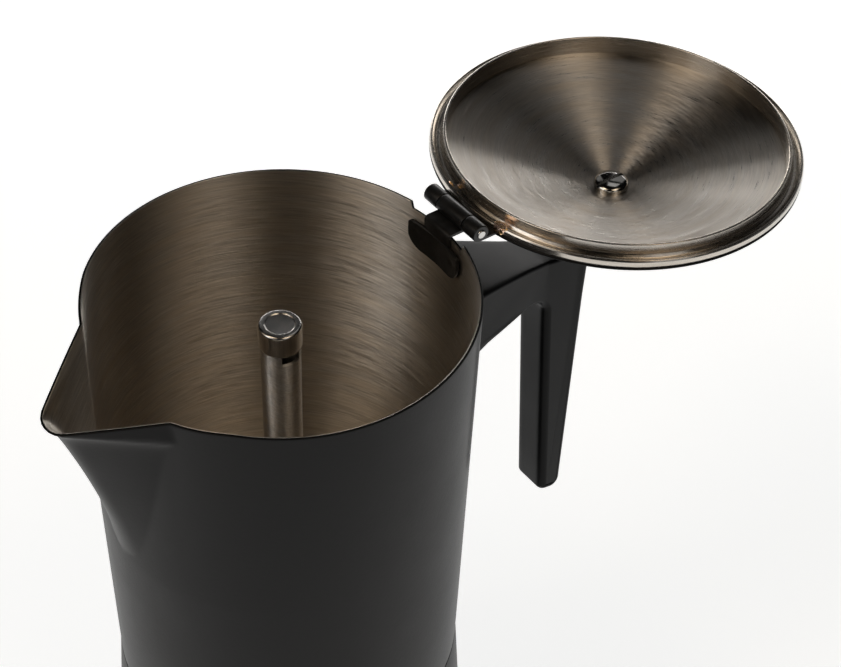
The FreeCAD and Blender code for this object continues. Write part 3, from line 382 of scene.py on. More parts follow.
def weld_tint(name):
    """Weld metal with the gold and rose colours that heat leaves on steel."""
    recipe = Recipe(name)
    place = recipe.place()
    patch = recipe.noise(place, 900.0, 3.0, 0.6)
    fine = recipe.noise(place, 3600.0, 2.0, 0.5)
    gold = recipe.mix(recipe.ramp(patch, 0.4, 0.6), rgb(0.95, 0.62, 0.27), rgb(0.96, 0.66, 0.55))
    recipe.into("Base Color", recipe.mix(recipe.ramp(fine, 0.55, 0.75), gold,
                                         rgb(0.66, 0.63, 0.58)))
    recipe.into("Roughness", recipe.ramp(fine, 0.3, 0.7, 0.16, 0.34))
    recipe.set(Metallic=1.0)
    recipe.into("Normal", recipe.bump(fine, 0.3, 0.0001))
    return recipe.material


LACQUER = lacquer("black_lacquer")
WALL_STEEL = brushed_steel("brushed_steel_wall", "height", colour=(0.86, 0.81, 0.74),
                           roughness=0.42, anisotropy=1.0, depth=1.0)
DISC_STEEL = brushed_steel("brushed_steel_disc", "radius")
RING_STEEL = brushed_steel("brushed_steel_ring", "height", roughness=0.22, anisotropy=0.8,
                           depth=0.12)
TUBE_STEEL = brushed_steel("satin_tube", "height", colour=(0.84, 0.82, 0.80), roughness=0.42,
                           anisotropy=0.98, depth=0.5)
POLISHED = polished("polished_steel")
HINGE_BLACK = hinge_black("hinge_black")
PLASTIC = moulded("black_plastic", (0.0020, 0.0020, 0.0021), 0.33, ior=1.16)
CAP_STEEL = brushed_steel("cap_steel", "radius", colour=(0.86, 0.85, 0.84), roughness=0.2,
                          anisotropy=0.2, depth=0.1)
WELD = weld_tint("weld_tint")
SILICONE = moulded("silicone", (0.55, 0.54, 0.50), 0.5, 0.1)
FIBRE = moulded("red_fibre", (0.24, 0.05, 0.03), 0.75, 0.3)
BRASS = polished("turned_brass", (0.62, 0.43, 0.17), 0.22)
HEAT_DISC = brushed_steel("turned_base", "radius", colour=(0.58, 0.58, 0.59), roughness=0.32)

SLOT_LOOKS = {
    "black_lacquer": LACQUER,
    "brushed_steel": WALL_STEEL,
    "satin_steel": TUBE_STEEL,
    "polished_steel": POLISHED,
    "black_steel": HINGE_BLACK,
    "heat_disc": HEAT_DISC,
    "brass": BRASS,
    "black_plastic": PLASTIC,
    "silicone": SILICONE,
    "fibre": FIBRE,
}
for part in frame["record"]["subparts"]:
    node = frame["nodes"][part["node"]]
    node.data.materials.clear()
    node.data.materials.append(SLOT_LOOKS[part["material_slot"]])


# ---------------------------------------------------------------- jug wall with its spout

SHEET = 0.8 * MM
TAPER = 0.02
WALL_DEPTH = RIM - SEAM
NOTCH_HALF = 10.5 * MM
NOTCH_DEPTH = 2.0 * MM

# the rim's fall to the spout
FALL_START = 34.7 * MM
FALL_SLOPE = math.tan(math.radians(15.4))
FALL_BEND = 1.5 * MM

# the wall drawn in beside the spout
PINCH = 1.4 * MM
PINCH_SPREAD = math.radians(64)
PINCH_CURVE = 1.6

# the spout: its cheeks open and its nose widens from the rim down
SPOUT_LENGTH = 61 * MM
CREASE_BLEND = 0.12 * MM
CHEEK_HALF_ANGLE, CHEEK_OPENING, CHEEK_CURVE = 38.2, 34.6, 1.416
NOSE_RADIUS, NOSE_WIDENING, NOSE_CURVE = 6.8 * MM, 19.1 * MM, 4.38
LIP_REACH, LIP_DEPTH, LIP_FADE = 1.5 * MM, 8.2 * MM, 1.5 * MM
SWEEP_REACH, SWEEP_START, SWEEP_LENGTH, SWEEP_CURVE = 14 * MM, 9 * MM, 56 * MM, 1.45
SWEEP_SINK, SWEEP_MOST = 0.4 * MM, 14.05 * MM


def wall_radius(angle, depth):
    """The round wall, drawn in a little on both sides of the spout near the rim."""
    beside = max(0.0, (math.radians(90) - angle) / PINCH_SPREAD)
    fade = max(0.0, 1 - depth / SPOUT_LENGTH)
    return RIM_RADIUS - TAPER * depth - PINCH * min(beside, 1.0) ** PINCH_CURVE * fade


def spout_front(depth):
    """How far the nose reaches: a short lip, then a hollow curve back to the wall."""
    lip = LIP_REACH * math.exp(-max(depth - LIP_DEPTH, 0.0) / LIP_FADE)
    share = max(0.0, 1 - (depth - SWEEP_START) / SWEEP_LENGTH)
    sweep = SWEEP_REACH * share ** SWEEP_CURVE - SWEEP_SINK
    return RIM_RADIUS - TAPER * depth + min(sweep, SWEEP_MOST) + lip


def spout_radius(angle, depth, inset):
    """Polar radius of the spout's level cut: two straight cheeks and a rounded nose."""
    shut = max(depth, 0.0) / SPOUT_LENGTH
    half = math.radians(CHEEK_HALF_ANGLE + CHEEK_OPENING * shut ** CHEEK_CURVE)
    edge = NOSE_RADIUS + NOSE_WIDENING * shut ** NOSE_CURVE
    apex = spout_front(depth) + edge * (1 / math.sin(half) - 1) - inset / math.sin(half)
    edge = edge - inset
    cheek_tilt = math.radians(90) - half
    if angle > cheek_tilt:
        return 0.0
    cheek = apex * math.sin(half) / math.cos(angle - cheek_tilt)
    centre = apex - edge / math.sin(half)
    touch = math.atan2(edge * math.cos(half), centre + edge * math.sin(half))
    if angle >= touch:
        return cheek
    across = centre * math.sin(angle)
    return centre * math.cos(angle) + math.sqrt(max(edge ** 2 - across ** 2, 0.0))


def soft_max(first, second, blend):
    """The larger of two lengths, with the crease between them rounded."""
    near = max(blend - abs(first - second), 0.0) / blend
    return max(first, second) + near * near * blend / 4


def skin_radius(angle, depth, inset):
    wall = wall_radius(angle, depth) - inset
    if depth > SPOUT_LENGTH * 1.1:
        return wall
    return soft_max(wall, spout_radius(angle, depth, inset), CREASE_BLEND)


def crease_angle(depth):
    """Where the spout's cheek leaves the round wall."""
    low, high = math.radians(1.2), math.radians(50)
    for _ in range(24):
        middle = (low + high) / 2
        if spout_radius(middle, depth, 0.0) > wall_radius(middle, depth):
            low = middle
        else:
            high = middle
    return low


CREASES = [crease_angle(k * MM) for k in range(int(SPOUT_LENGTH / MM) + 1)]


def crease_at(depth):
    place = min(max(depth / MM, 0.0), len(CREASES) - 1.001)
    low = int(place)
    return CREASES[low] + (CREASES[low + 1] - CREASES[low]) * (place - low)


NOTCH_ANGLE = math.pi - math.asin(NOTCH_HALF / RIM_RADIUS)


def column_angle(place, depth):
    """Angle of a mesh column: whole numbers sit on the nose, crease, wall and notch."""
    crease = crease_at(depth)
    stops = (0.0, crease * 0.45, crease, crease + 0.2, NOTCH_ANGLE, math.pi)
    low = min(int(place), 4)
    return stops[low] + (stops[low + 1] - stops[low]) * (place - low)


def ease(start, end, value):
    """0 at start, 1 at end, smooth between them."""
    share = min(max((value - start) / (end - start), 0.0), 1.0)
    return share * share * (3 - 2 * share)


def rim_drop(across, beside):
    """Depth of the rim line below the rim: the fall to the spout and the hinge notch."""
    beyond = -across - FALL_START
    if beyond <= -FALL_BEND:
        drop = 0.0
    elif beyond >= FALL_BEND:
        drop = beyond * FALL_SLOPE
    else:
        drop = FALL_SLOPE * (beyond + FALL_BEND) ** 2 / (4 * FALL_BEND)
    if across > 0:
        drop += NOTCH_DEPTH * ease(0.35 * MM, -0.35 * MM, abs(beside) - NOTCH_HALF)
    return drop


def skin_point(place, side, below, inset):
    """A point of the wall: column, side of the spout, distance below the rim line, inset."""
    depth = below
    for _ in range(5):
        angle = column_angle(place, depth)
        radius = skin_radius(angle, depth, inset)
        across = -radius * math.cos(angle)
        beside = side * radius * math.sin(angle)
        depth = below + rim_drop(across, beside) * max(0.0, 1 - below / (0.6 * WALL_DEPTH))
    return Vector((across, beside, RIM - depth))


def spread(start, end, count):
    return [start + (end - start) * k / count for k in range(count)]


def jug_wall():
    """The sheet wall as one closed grid: up the outside, over the lip, down the inside."""
    notch_edge = [4 + offset for offset in (-0.02, -0.006, -0.003, 0.0, 0.03, 0.06, 0.12)]
    half = (spread(0, 1, 8) + spread(1, 2, 12) + spread(2, 3, 10) + spread(3, 3.97, 48)
            + notch_edge + spread(4.25, 5, 5))
    columns = [(place, 1) for place in half] + [(5, 1)]
    columns += [(place, -1) for place in reversed(half[1:])]
    lip = 0.22 * MM
    lip_steps = 5
    belows = spread(lip, 3 * MM, 4) + spread(3 * MM, 66 * MM, 46) + spread(66 * MM, WALL_DEPTH, 8)
    belows.append(WALL_DEPTH)
    rows = [(below, 0.0) for below in reversed(belows)]
    for k in range(1, lip_steps + 1):
        angle = math.radians(90) * k / lip_steps
        rows.append((lip * (1 - math.sin(angle)), lip * (1 - math.cos(angle))))
    for k in range(lip_steps):
        angle = math.radians(90) * k / lip_steps
        rows.append((lip * (1 - math.cos(angle)), SHEET - lip * (1 - math.sin(angle))))
    lacquered = len(belows) + lip_steps
    rows += [(below, SHEET) for below in belows]
    bm = bmesh.new()
    grid = []
    for below, inset in rows:
        grid.append([bm.verts.new(skin_point(place, side, below, inset))
                     for place, side in columns])
    for i in range(len(grid)):
        low, high = grid[i], grid[(i + 1) % len(grid)]
        for k in range(len(columns)):
            on = (k + 1) % len(columns)
            face = bm.faces.new((low[k], low[on], high[on], high[k]))
            face.material_index = 0 if i < lacquered else 1
    piece("jug_wall_skin", bm, "jug", ["jug_wall"], [LACQUER, WALL_STEEL])


# ---------------------------------------------------------------- lid

def lid_cover():
    """Pressed lid: lacquered outside, brushed in circles inside."""
    low, high = RIM + 15.0 * MM, RIM + 15.8 * MM
    under = [
        (2.6 * MM, low, 0.1 * MM),
        (6.5 * MM, low, 4 * MM),
        (44.4 * MM, RIM + 3.3 * MM, 1.0 * MM),
        (48.9 * MM, RIM + 2.7 * MM, 0.1 * MM),
    ]
    over = [
        (49.24 * MM, RIM + 3.0 * MM, 0.2 * MM),
        (49.1 * MM, RIM + 3.45 * MM, 0.2 * MM),
        (44.9 * MM, RIM + 4.1 * MM, 2.0 * MM),
        (6.5 * MM, high, 4 * MM),
        (2.6 * MM, high, 0.1 * MM),
    ]
    outline = rounded(under + over)
    slope = (15.0 - 3.3) / (44.4 - 6.5)

    def side(radius, height):
        middle = RIM + 3.7 * MM + slope * max(0.0, 44.4 * MM - radius)
        return 1 if height < min(middle, RIM + 15.4 * MM) and radius < 48.8 * MM else 0

    piece("lid_cover_skin", lathe(outline, 256, side), "lid", ["lid_cover"],
          [LACQUER, DISC_STEEL], OPEN)


def lid_rim():
    """Skirt that drops into the jug, its fillet and the rolled bead at the lid's edge."""
    corners = [
        (44.9, 3.2, 0.0), (44.9, -1.85, 0.3), (45.7, -1.85, 0.3), (45.8, 0.9, 0.9),
        (46.5, 1.75, 0.5), (47.4, 1.75, 0.4), (47.9, 0.95, 0.3), (48.4, 0.45, 0.4),
        (48.8, 0.45, 0.4), (49.15, 0.95, 0.3), (49.24, 2.1, 0.3), (48.9, 2.68, 0.0),
    ]
    outline = rounded([(across * MM, RIM + up * MM, radius * MM)
                       for across, up, radius in corners])
    piece("lid_rim_ring", lathe(outline, 256), "lid", ["lid_rim"],
          [RING_STEEL], OPEN)


def arc(centre, radius, start, end, count):
    """Points of (x, z) on an arc given in degrees."""
    points = []
    for k in range(count + 1):
        angle = math.radians(start + (end - start) * k / count)
        points.append(Vector((centre[0] + radius * math.cos(angle),
                              centre[1] + radius * math.sin(angle))))
    return points


# ---------------------------------------------------------------- hinge

KNUCKLE = 2.4 * MM
PIN = HINGE.x, HINGE.z
MIDDLE_HALF = 5.05 * MM
OUTER_START = 5.25 * MM
BARREL_HALF = 10.4 * MM
STRAP = 1.0 * MM
LEAF = 0.9 * MM
PLATE_INNER = 46.9 * MM
PLATE_HALF = 10.2 * MM
PLATE_TOP = 4.5 * MM
PLATE_FOOT = 13.0 * MM
PLATE_CORNER = 5.0 * MM


def plate_edges(beside):
    """Lowest and highest point of the D-shaped plate at a distance from its middle."""
    out = max(0.0, abs(beside) - (PLATE_HALF - PLATE_CORNER))
    low = PLATE_FOOT - PLATE_CORNER + math.sqrt(max(PLATE_CORNER ** 2 - out ** 2, 0.0))
    small = 1.4 * MM
    out = max(0.0, abs(beside) - (PLATE_HALF - small))
    high = PLATE_TOP + small - math.sqrt(max(small ** 2 - out ** 2, 0.0))
    return RIM - low, RIM - high


def hinge_bracket():
    """Plate welded inside the wall, with its strap rolled into the middle knuckle."""
    top, under = HINGE.z - KNUCKLE + STRAP, HINGE.z - KNUCKLE
    start = math.degrees(math.acos((KNUCKLE - STRAP) / KNUCKLE))
    inner = PLATE_INNER + 0.12 * MM
    upright = RIM - 7 * MM
    strap = rounded([(inner, upright, 0), (inner, top, 1.2 * MM), (inner + 3 * MM, top, 0)])[:-1]
    strap += arc(PIN, KNUCKLE, 270 - start, -90, 36)
    strap += [Vector((inner + STRAP, under)), Vector((inner + STRAP, upright))]
    bm = plank(strap, -MIDDLE_HALF, MIDDLE_HALF, 0.22 * MM)
    across = [math.sin(math.radians(90) * k / 14) for k in range(-14, 15)]
    up = [0, 0.03, 0.1] + [0.1 + 0.8 * k / 10 for k in range(1, 10)] + [0.9, 0.97, 1]
    bevel = 0.25 * MM
    spots = [(-7.3 * MM, RIM - 7.6 * MM), (7.3 * MM, RIM - 7.6 * MM)]
    faces = []
    for depth in (0.0, STRAP):
        grid = []
        for share in across:
            beside = share * PLATE_HALF
            low, high = plate_edges(beside)
            column = []
            for part in up:
                height = low + (high - low) * part
                edge = min(part, 1 - part) * (high - low)
                rim = min(edge, PLATE_HALF - abs(beside)) / bevel
                sink = bevel * (1 - math.sqrt(1 - (1 - min(rim, 1.0)) ** 2))
                spoke = PLATE_INNER + (sink if depth == 0 else depth - sink)
                if depth == 0:
                    for spot in spots:
                        away = math.hypot(beside - spot[0], height - spot[1]) / (1.1 * MM)
                        spoke += 0.28 * MM * math.exp(-away ** 2 * 2.5)
                column.append(bm.verts.new((math.sqrt(spoke ** 2 - beside ** 2), beside, height)))
            grid.append(column)
        for i in range(len(grid) - 1):
            for k in range(len(up) - 1):
                bm.faces.new((grid[i][k], grid[i + 1][k], grid[i + 1][k + 1], grid[i][k + 1]))
        faces.append(grid)
    front, rear = faces
    rows, columns = len(up) - 1, len(across) - 1
    loop = ([(i, 0) for i in range(columns)] + [(columns, k) for k in range(rows)]
            + [(i, rows) for i in range(columns, 0, -1)] + [(0, k) for k in range(rows, 0, -1)])
    for here, there in zip(loop, loop[1:] + loop[:1]):
        bm.faces.new((front[here[0]][here[1]], front[there[0]][there[1]],
                      rear[there[0]][there[1]], rear[here[0]][here[1]]))
    piece("hinge_plate", bm, "jug", ["hinge_bracket"], [HINGE_BLACK])


def lid_leaf():
    """Leaf on the lid's edge: a flat bridge and two rolled outer knuckles."""
    top, under = HINGE.z + KNUCKLE, HINGE.z + KNUCKLE - LEAF
    start = math.degrees(math.acos((KNUCKLE - LEAF) / KNUCKLE))
    edge = 48.2 * MM
    outline = [Vector((edge, top))] + arc(PIN, KNUCKLE, 90, 90 + start - 360, 40)
    outline.append(Vector((edge, under)))
    bm = plank(outline, -BARREL_HALF, -OUTER_START, 0.25 * MM)
    plank(outline, OUTER_START, BARREL_HALF, 0.25 * MM, bm)
    trim = 0.02 * MM
    bridge = rounded([(edge + 0.4 * MM, under + trim, 0), (edge + 0.4 * MM, top - trim, 0),
                      (edge + 2.2 * MM, top - trim, 0.2 * MM),
                      (edge + 2.2 * MM, under + trim, 0.2 * MM)])
    plank(bridge, -OUTER_START - 0.4 * MM, OUTER_START + 0.4 * MM, 0.1 * MM, bm)
    piece("hinge_leaf", bm, "lid", ["lid_leaf"], [HINGE_BLACK], OPEN)


def hinge_pin():
    """Pin with peened ends."""
    half, radius = 10.8 * MM, 1.25 * MM
    outline = rounded([(0, -half, 0), (radius * 0.9, -half, 0.3 * MM),
                       (radius, -half + 0.5 * MM, 0.3 * MM), (radius, half - 0.5 * MM, 0.3 * MM),
                       (radius * 0.9, half, 0.3 * MM), (0, half, 0)])
    bm = lathe(outline, 40)
    bmesh.ops.rotate(bm, verts=bm.verts, matrix=Matrix.Rotation(math.radians(90), 3, "X"))
    bmesh.ops.translate(bm, verts=bm.verts, vec=HINGE)
    piece("hinge_pin_rod", bm, "jug", ["hinge_pin"], [POLISHED])


def weld_bead(name, centre, size, stretch, seed):
    """A lump of weld on the lid's edge, flat underneath so that it clears the jug's rim."""
    bm = bmesh.new()
    bmesh.ops.create_icosphere(bm, subdivisions=4, radius=1)
    for vert in bm.verts:
        bump = noise.noise(vert.co * 1.7 + Vector((seed, 0, 0)))
        ripple = noise.noise(vert.co * 4.5 + Vector((0, seed, 0)))
        vert.co *= 1 + 0.34 * bump + 0.14 * ripple
        vert.co = Vector((vert.co.x * stretch[0], vert.co.y * stretch[1],
                          vert.co.z * stretch[2])) * size + centre
        vert.co.z = max(vert.co.z, WELD_FOOT)
    piece(name, bm, "lid", [], [WELD], OPEN)


WELD_RADIUS = 48.2 * MM
WELD_HEIGHT = RIM + 1.25 * MM
WELD_FOOT = RIM + 0.25 * MM
# name, angle round the lid, size and seed of each lump
WELDS = [
    ("weld_bead_near", -12.6, 2.0 * MM, 3.1),
    ("weld_bead_far", 12.6, 0.9 * MM, 8.7),
]


def welds():
    """The two lumps of weld that hold the hinge leaf on the lid."""
    for name, turn, size, seed in WELDS:
        angle = math.radians(turn)
        spot = Vector((WELD_RADIUS * math.cos(angle), WELD_RADIUS * math.sin(angle), WELD_HEIGHT))
        weld_bead(name, spot, size, (0.8, 1.1, 0.75), seed)


# ---------------------------------------------------------------- lid knob and its screw

def lid_knob():
    """Plain waisted knob."""
    foot = RIM + 16.6 * MM
    outline = rounded([
        (0, foot, 0), (5.6 * MM, foot, 0.4 * MM), (5.6 * MM, foot + 3.9 * MM, 5 * MM),
        (8.4 * MM, foot + 10.85 * MM, 7 * MM), (8.4 * MM, foot + 15.5 * MM, 1.8 * MM),
        (0, foot + 15.5 * MM, 0),
    ], 10)
    piece("lid_knob_turned", lathe(outline, 96), "lid", ["lid_knob"],
          [PLASTIC], OPEN)


def knob_screw():
    """Slotted dome-headed screw in the middle of the lid's inside."""
    seat = RIM + 15.0 * MM
    radius, height, slot, deep = 4.75 * MM, 2.4 * MM, 1.1 * MM, 1.3 * MM
    bm = bmesh.new()
    steps, half = 28, slot / 2
    sides = []

    def dome(away):
        share = min(away / radius, 1.0)
        return seat - height * (0.38 + 0.62 * math.sqrt(max(1 - share ** 2.6, 0.0)))

    for side in (1, -1):
        grid = []
        for i in range(steps + 1):
            along = -math.cos(math.pi * i / steps)
            row = []
            for k in range(10):
                share = k / 9
                out = half + (radius - half) * share ** 0.8
                reach = math.sqrt(max(radius ** 2 - out ** 2, 0.0))
                x, y = along * reach, side * out
                row.append(bm.verts.new((x, y, dome(math.hypot(x, y)))))
            grid.append(row)
        for i in range(steps):
            for k in range(9):
                bm.faces.new((grid[i][k], grid[i + 1][k], grid[i + 1][k + 1], grid[i][k + 1]))
        sides.append(grid)
    floor_rows = []
    for side, grid in zip((1, -1), sides):
        row = [bm.verts.new((line[0].co.x, side * half * 0.96, seat - height + deep))
               for line in grid]
        floor_rows.append(row)
        for i in range(steps):
            bm.faces.new((grid[i][0], grid[i + 1][0], row[i + 1], row[i]))
    for i in range(steps):
        bm.faces.new((floor_rows[0][i], floor_rows[0][i + 1], floor_rows[1][i + 1],
                      floor_rows[1][i]))
    skirt = rounded([(0, seat - 0.9 * MM, 0), (radius * 0.999, seat - 0.95 * MM, 0.1 * MM),
                     (radius, seat, 0), (2.4 * MM, seat, 0), (2.4 * MM, seat + 10 * MM, 0.4 * MM),
                     (0, seat + 10 * MM, 0)])
    base = lathe(skirt, 96)
    spare = bpy.data.meshes.new("screw_base")
    base.to_mesh(spare)
    base.free()
    bm.from_mesh(spare)
    bpy.data.meshes.remove(spare)
    piece("knob_screw_head", bm, "lid", ["knob_screw"], [POLISHED], OPEN)


# ---------------------------------------------------------------- coffee column

def column_cap():
    """Cup pressed over the tube's end: a flat disc inside a rounded shoulder."""
    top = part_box("column_cap")[1].z
    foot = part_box("column_cap")[0].z
    radius = 5.5 * MM
    outline = rounded([
        (0, top - 0.22 * MM, 0), (3.6 * MM, top - 0.22 * MM, 0.1 * MM),
        (3.85 * MM, top, 0.12 * MM), (radius, top, 2.2 * MM),
        (radius, foot + 0.5 * MM, 1.2 * MM), (radius - 0.3 * MM, foot, 0.12 * MM),
        (5.02 * MM, foot, 0.05 * MM), (5.02 * MM, top - 0.8 * MM, 0), (0, top - 0.8 * MM, 0),
    ], 8)
    piece("column_cap_cup", lathe(outline, 96), "jug", ["column_cap"],
          [CAP_STEEL])


# ---------------------------------------------------------------- handle

HANDLE_HALF = 5.9 * MM
FLARE_END = 81 * MM
FLARE_LENGTH = 33 * MM
FLARE_GAIN = 1.6
FLARE_CURVE = 1.15
ROOT_REACH = 49 * MM
ROOT_SINK = 0.4 * MM


def handle():
    """Moulded handle: an arm that flares to the jug and follows its wall, and a softer grip."""
    outer_foot = 92.8 * MM
    foot = RIM - 117.6 * MM
    outline = rounded([
        (47.8 * MM, RIM - 15.2 * MM, 0), (47.4 * MM, RIM - 46.9 * MM, 0),
        (80.5 * MM, RIM - 35.8 * MM, 6.0 * MM), (85.6 * MM, foot, 2.5 * MM),
        (outer_foot, foot, 3.2 * MM), (95.4 * MM, RIM - 26.1 * MM, 3.0 * MM),
        (83 * MM, RIM - 26.1 * MM, 30 * MM),
    ], 8)
    split = []
    for here, there in zip(outline, outline[1:] + outline[:1]):
        split += [here + (there - here) * k / 6 for k in range(6)]

    def softness(point):
        if point.x < 56 * MM:
            return 0.9 * MM
        grip = ease(-34 * MM, -44 * MM, point.y - RIM)
        inner = ease(90 * MM, 87 * MM, point.x)
        return (0.9 + grip * (0.6 + 0.7 * inner)) * MM

    bm = plank(split, -HANDLE_HALF, HANDLE_HALF, softness, steps=6)
    for k in range(-5, 6):
        bmesh.ops.bisect_plane(bm, geom=bm.verts[:] + bm.edges[:] + bm.faces[:],
                               plane_co=(0, k * MM, 0), plane_no=(0, 1, 0))
    for vert in bm.verts:
        share = max(0.0, FLARE_END - vert.co.x) / FLARE_LENGTH
        upper = ease(-46 * MM, -26 * MM, vert.co.z - RIM)
        vert.co.y *= 1 + FLARE_GAIN * share ** FLARE_CURVE * (0.3 + 0.7 * upper)
        if vert.co.x < ROOT_REACH:
            wall = RIM_RADIUS - TAPER * (RIM - vert.co.z) - ROOT_SINK
            vert.co.x = math.sqrt(wall ** 2 - vert.co.y ** 2)
    piece("handle_moulding", bm, "jug", ["handle"], [PLASTIC])


# ---------------------------------------------------------------- boiler

def boiler_shell():
    """Lacquered wall of the boiler, rounded at its foot and at its top edge."""
    low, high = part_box("boiler_shell")
    foot, top = low.z, high.z
    outline = rounded([
        (50.2 * MM, foot, 0.1 * MM), (51.0 * MM, foot, 0.5 * MM), (46.6 * MM, top, 0.35 * MM),
        (45.8 * MM, top, 0.1 * MM),
    ])

    def side(radius, height):
        outside = 51.0 * MM - 4.4 * MM * (height - foot) / (top - foot)
        return 0 if radius > outside - 0.4 * MM else 1

    piece("boiler_shell_skin", lathe(outline, 224, side), "boiler", ["boiler_shell"],
          [LACQUER, WALL_STEEL])


# ---------------------------------------------------------------- safety valve's spring

spring_part = next(part for part in frame["record"]["subparts"] if part["node"] == "valve_spring")


def valve_spring():
    """Coil that the plunger presses against the cap as the valve opens."""
    low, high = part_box("valve_spring")
    wire, coil, pitch = 0.25 * MM, 2.15 * MM, 1.2 * MM
    centre = (low + high) / 2
    start, length = high.y - wire, high.y - low.y - 2 * wire
    steps_per_turn, sides = 24, 10
    steps = round(steps_per_turn * length / pitch)
    bm = bmesh.new()
    rings = []
    for k in range(steps + 1):
        along = length * k / steps
        angle = TAU * along / pitch
        spoke = Vector((math.cos(angle), 0, math.sin(angle)))
        middle = Vector((centre.x, start - along, centre.z)) + spoke * coil
        rings.append([bm.verts.new(middle + wire * (spoke * math.cos(turn)
                                                    + Vector((0, math.sin(turn), 0))))
                      for turn in (TAU * m / sides for m in range(sides))])
    for first, second in zip(rings, rings[1:]):
        for k in range(sides):
            on = (k + 1) % sides
            bm.faces.new((first[k], first[on], second[on], second[k]))
    bm.faces.new(rings[0])
    bm.faces.new(rings[-1])
    spring = piece("valve_spring_coil", bm, "boiler", ["valve_spring"],
                   [SLOT_LOOKS[spring_part["material_slot"]]])
    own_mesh(spring)


jug_wall()
lid_cover()
lid_rim()
hinge_bracket()
lid_leaf()
hinge_pin()
welds()
lid_knob()
knob_screw()
column_cap()
handle()
boiler_shell()
valve_spring()


# ---------------------------------------------------------------- stage, light and camera

FLOOR_HALF = 40.0
FLOOR_GLOW = 0.72
ROOM = 0.05
HORIZON = 0.9
HORIZON_LOW, HORIZON_HIGH = 0.04, 0.16
BOX_DISTANCE = 1.2
BOX_SIZE = {10: 0.44, 34: 0.42, 60: 0.40, 90: 0.40}
NEUTRAL = (1.0, 0.98, 0.96)
WARM = (1.0, 0.80, 0.58)
# azimuth, elevation, power and colour of each box; azimuth 0 is the -Y side
SOFTBOXES = [
    (120, 10, 2.1, NEUTRAL), (140, 10, 1.6, NEUTRAL), (160, 10, 2.5, NEUTRAL),
    (260, 34, 1.25, NEUTRAL), (0, 34, 0.32, NEUTRAL), (280, 34, 0.35, NEUTRAL),
    (120, 34, 0.1, NEUTRAL), (160, 34, 0.1, NEUTRAL), (240, 34, 0.25, WARM),
    (0, 60, 0.6, WARM), (20, 60, 0.55, WARM), (40, 60, 0.12, WARM),
    (120, 60, 0.2, NEUTRAL), (260, 60, 1.05, WARM), (280, 60, 0.2, WARM),
]


def floor():
    """Plain pale floor that gives off a little light of its own."""
    bm = bmesh.new()
    bmesh.ops.create_grid(bm, x_segments=1, y_segments=1, size=FLOOR_HALF)
    mesh = bpy.data.meshes.new("floor")
    bm.to_mesh(mesh)
    bm.free()
    recipe = Recipe("pale_floor")
    recipe.set(Base_Color=rgb(0.86, 0.86, 0.86), Roughness=0.9, Specular_IOR_Level=0.1,
               Emission_Color=rgb(0.97, 0.99, 1), Emission_Strength=FLOOR_GLOW)
    mesh.materials.append(recipe.material)
    ground = bpy.data.objects.new("floor", mesh)
    bpy.context.scene.collection.objects.link(ground)


def softbox(azimuth, elevation, power, colour):
    """A square area light that looks at the middle of the pot."""
    name = f"softbox_{azimuth}_{elevation}"
    aim = Vector((0.02, 0.0, 0.14))
    lamp = bpy.data.lights.new(name, "AREA")
    lamp.shape = "SQUARE"
    lamp.size = BOX_SIZE[elevation]
    lamp.energy = power
    lamp.color = colour
    a, e = math.radians(azimuth), math.radians(elevation)
    out = Vector((math.sin(a) * math.cos(e), -math.cos(a) * math.cos(e), math.sin(e)))
    thing = bpy.data.objects.new(name, lamp)
    thing.location = aim + out * BOX_DISTANCE
    thing.rotation_euler = out.to_track_quat("Z", "Y").to_euler()
    thing.visible_camera = False
    bpy.context.scene.collection.objects.link(thing)


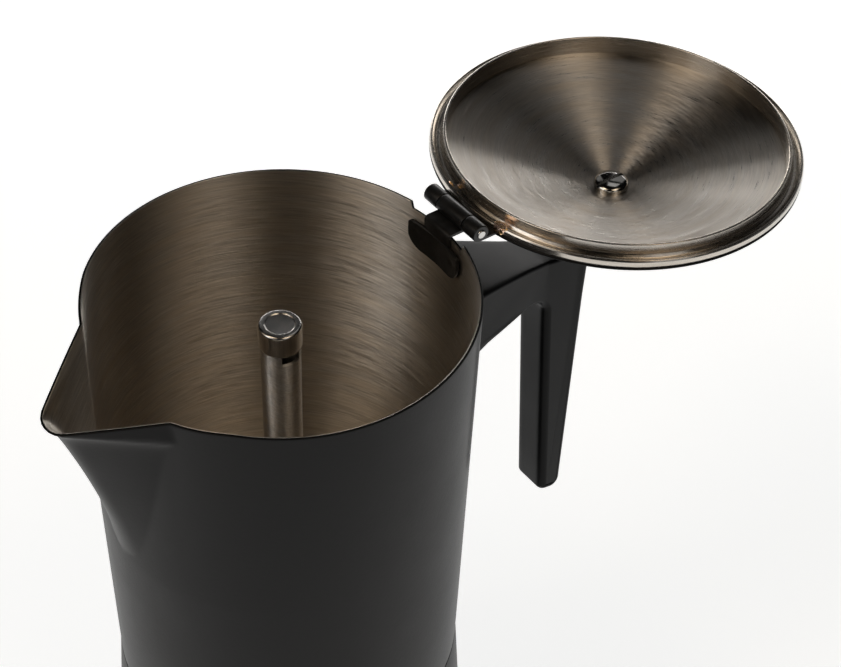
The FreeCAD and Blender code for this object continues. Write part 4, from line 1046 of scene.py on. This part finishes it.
def studio():
    """A dark room, a little lighter at the horizon and where the camera sees it."""
    world = bpy.data.worlds.new("studio")
    world.use_nodes = True
    tree = world.node_tree
    place = tree.nodes.new("ShaderNodeTexCoord")
    height = tree.nodes.new("ShaderNodeSeparateXYZ")
    fade = tree.nodes.new("ShaderNodeMapRange")
    fade.inputs["From Min"].default_value = HORIZON_LOW
    fade.inputs["From Max"].default_value = HORIZON_HIGH
    fade.inputs["To Min"].default_value = HORIZON
    fade.inputs["To Max"].default_value = ROOM
    tree.links.new(place.outputs["Generated"], height.inputs[0])
    tree.links.new(height.outputs[2], fade.inputs["Value"])
    path = tree.nodes.new("ShaderNodeLightPath")
    seen = tree.nodes.new("ShaderNodeMix")
    seen.inputs["B"].default_value = HORIZON
    tree.links.new(path.outputs["Is Camera Ray"], seen.inputs["Factor"])
    tree.links.new(fade.outputs["Result"], seen.inputs["A"])
    tree.links.new(seen.outputs["Result"], tree.nodes["Background"].inputs["Strength"])
    bpy.context.scene.world = world


CAMERA_AZIMUTH, CAMERA_ELEVATION, CAMERA_ROLL = -37.846, 42.559, 1.944
CAMERA_AIM = Vector((0.01961, -0.03035, RIM))
CAMERA_DISTANCE = 0.4692
CAMERA_LENS = 85.61


def camera():
    """The photograph's viewing angle; azimuth 0 looks from the -Y side."""
    azimuth, elevation, roll = (math.radians(angle) for angle in (
        CAMERA_AZIMUTH, CAMERA_ELEVATION, CAMERA_ROLL))
    back = Vector((math.sin(azimuth) * math.cos(elevation),
                   -math.cos(azimuth) * math.cos(elevation), math.sin(elevation)))
    level = Vector((math.cos(azimuth), math.sin(azimuth), 0))
    upright = back.cross(level)
    right = level * math.cos(roll) + upright * math.sin(roll)
    up = back.cross(right)
    lens = bpy.data.cameras.new("camera")
    lens.lens = CAMERA_LENS
    lens.sensor_width = 36
    lens.sensor_fit = "HORIZONTAL"
    lens.clip_start = 0.01
    thing = bpy.data.objects.new("camera", lens)
    turn = Matrix((right, up, back)).transposed().to_4x4()
    thing.matrix_world = Matrix.Translation(CAMERA_AIM + back * CAMERA_DISTANCE) @ turn
    bpy.context.scene.collection.objects.link(thing)
    bpy.context.scene.camera = thing


floor()
for box in SOFTBOXES:
    softbox(*box)
studio()
bpy.context.scene.view_settings.view_transform = "Standard"
bpy.context.scene.cycles.glossy_bounces = 10
camera()
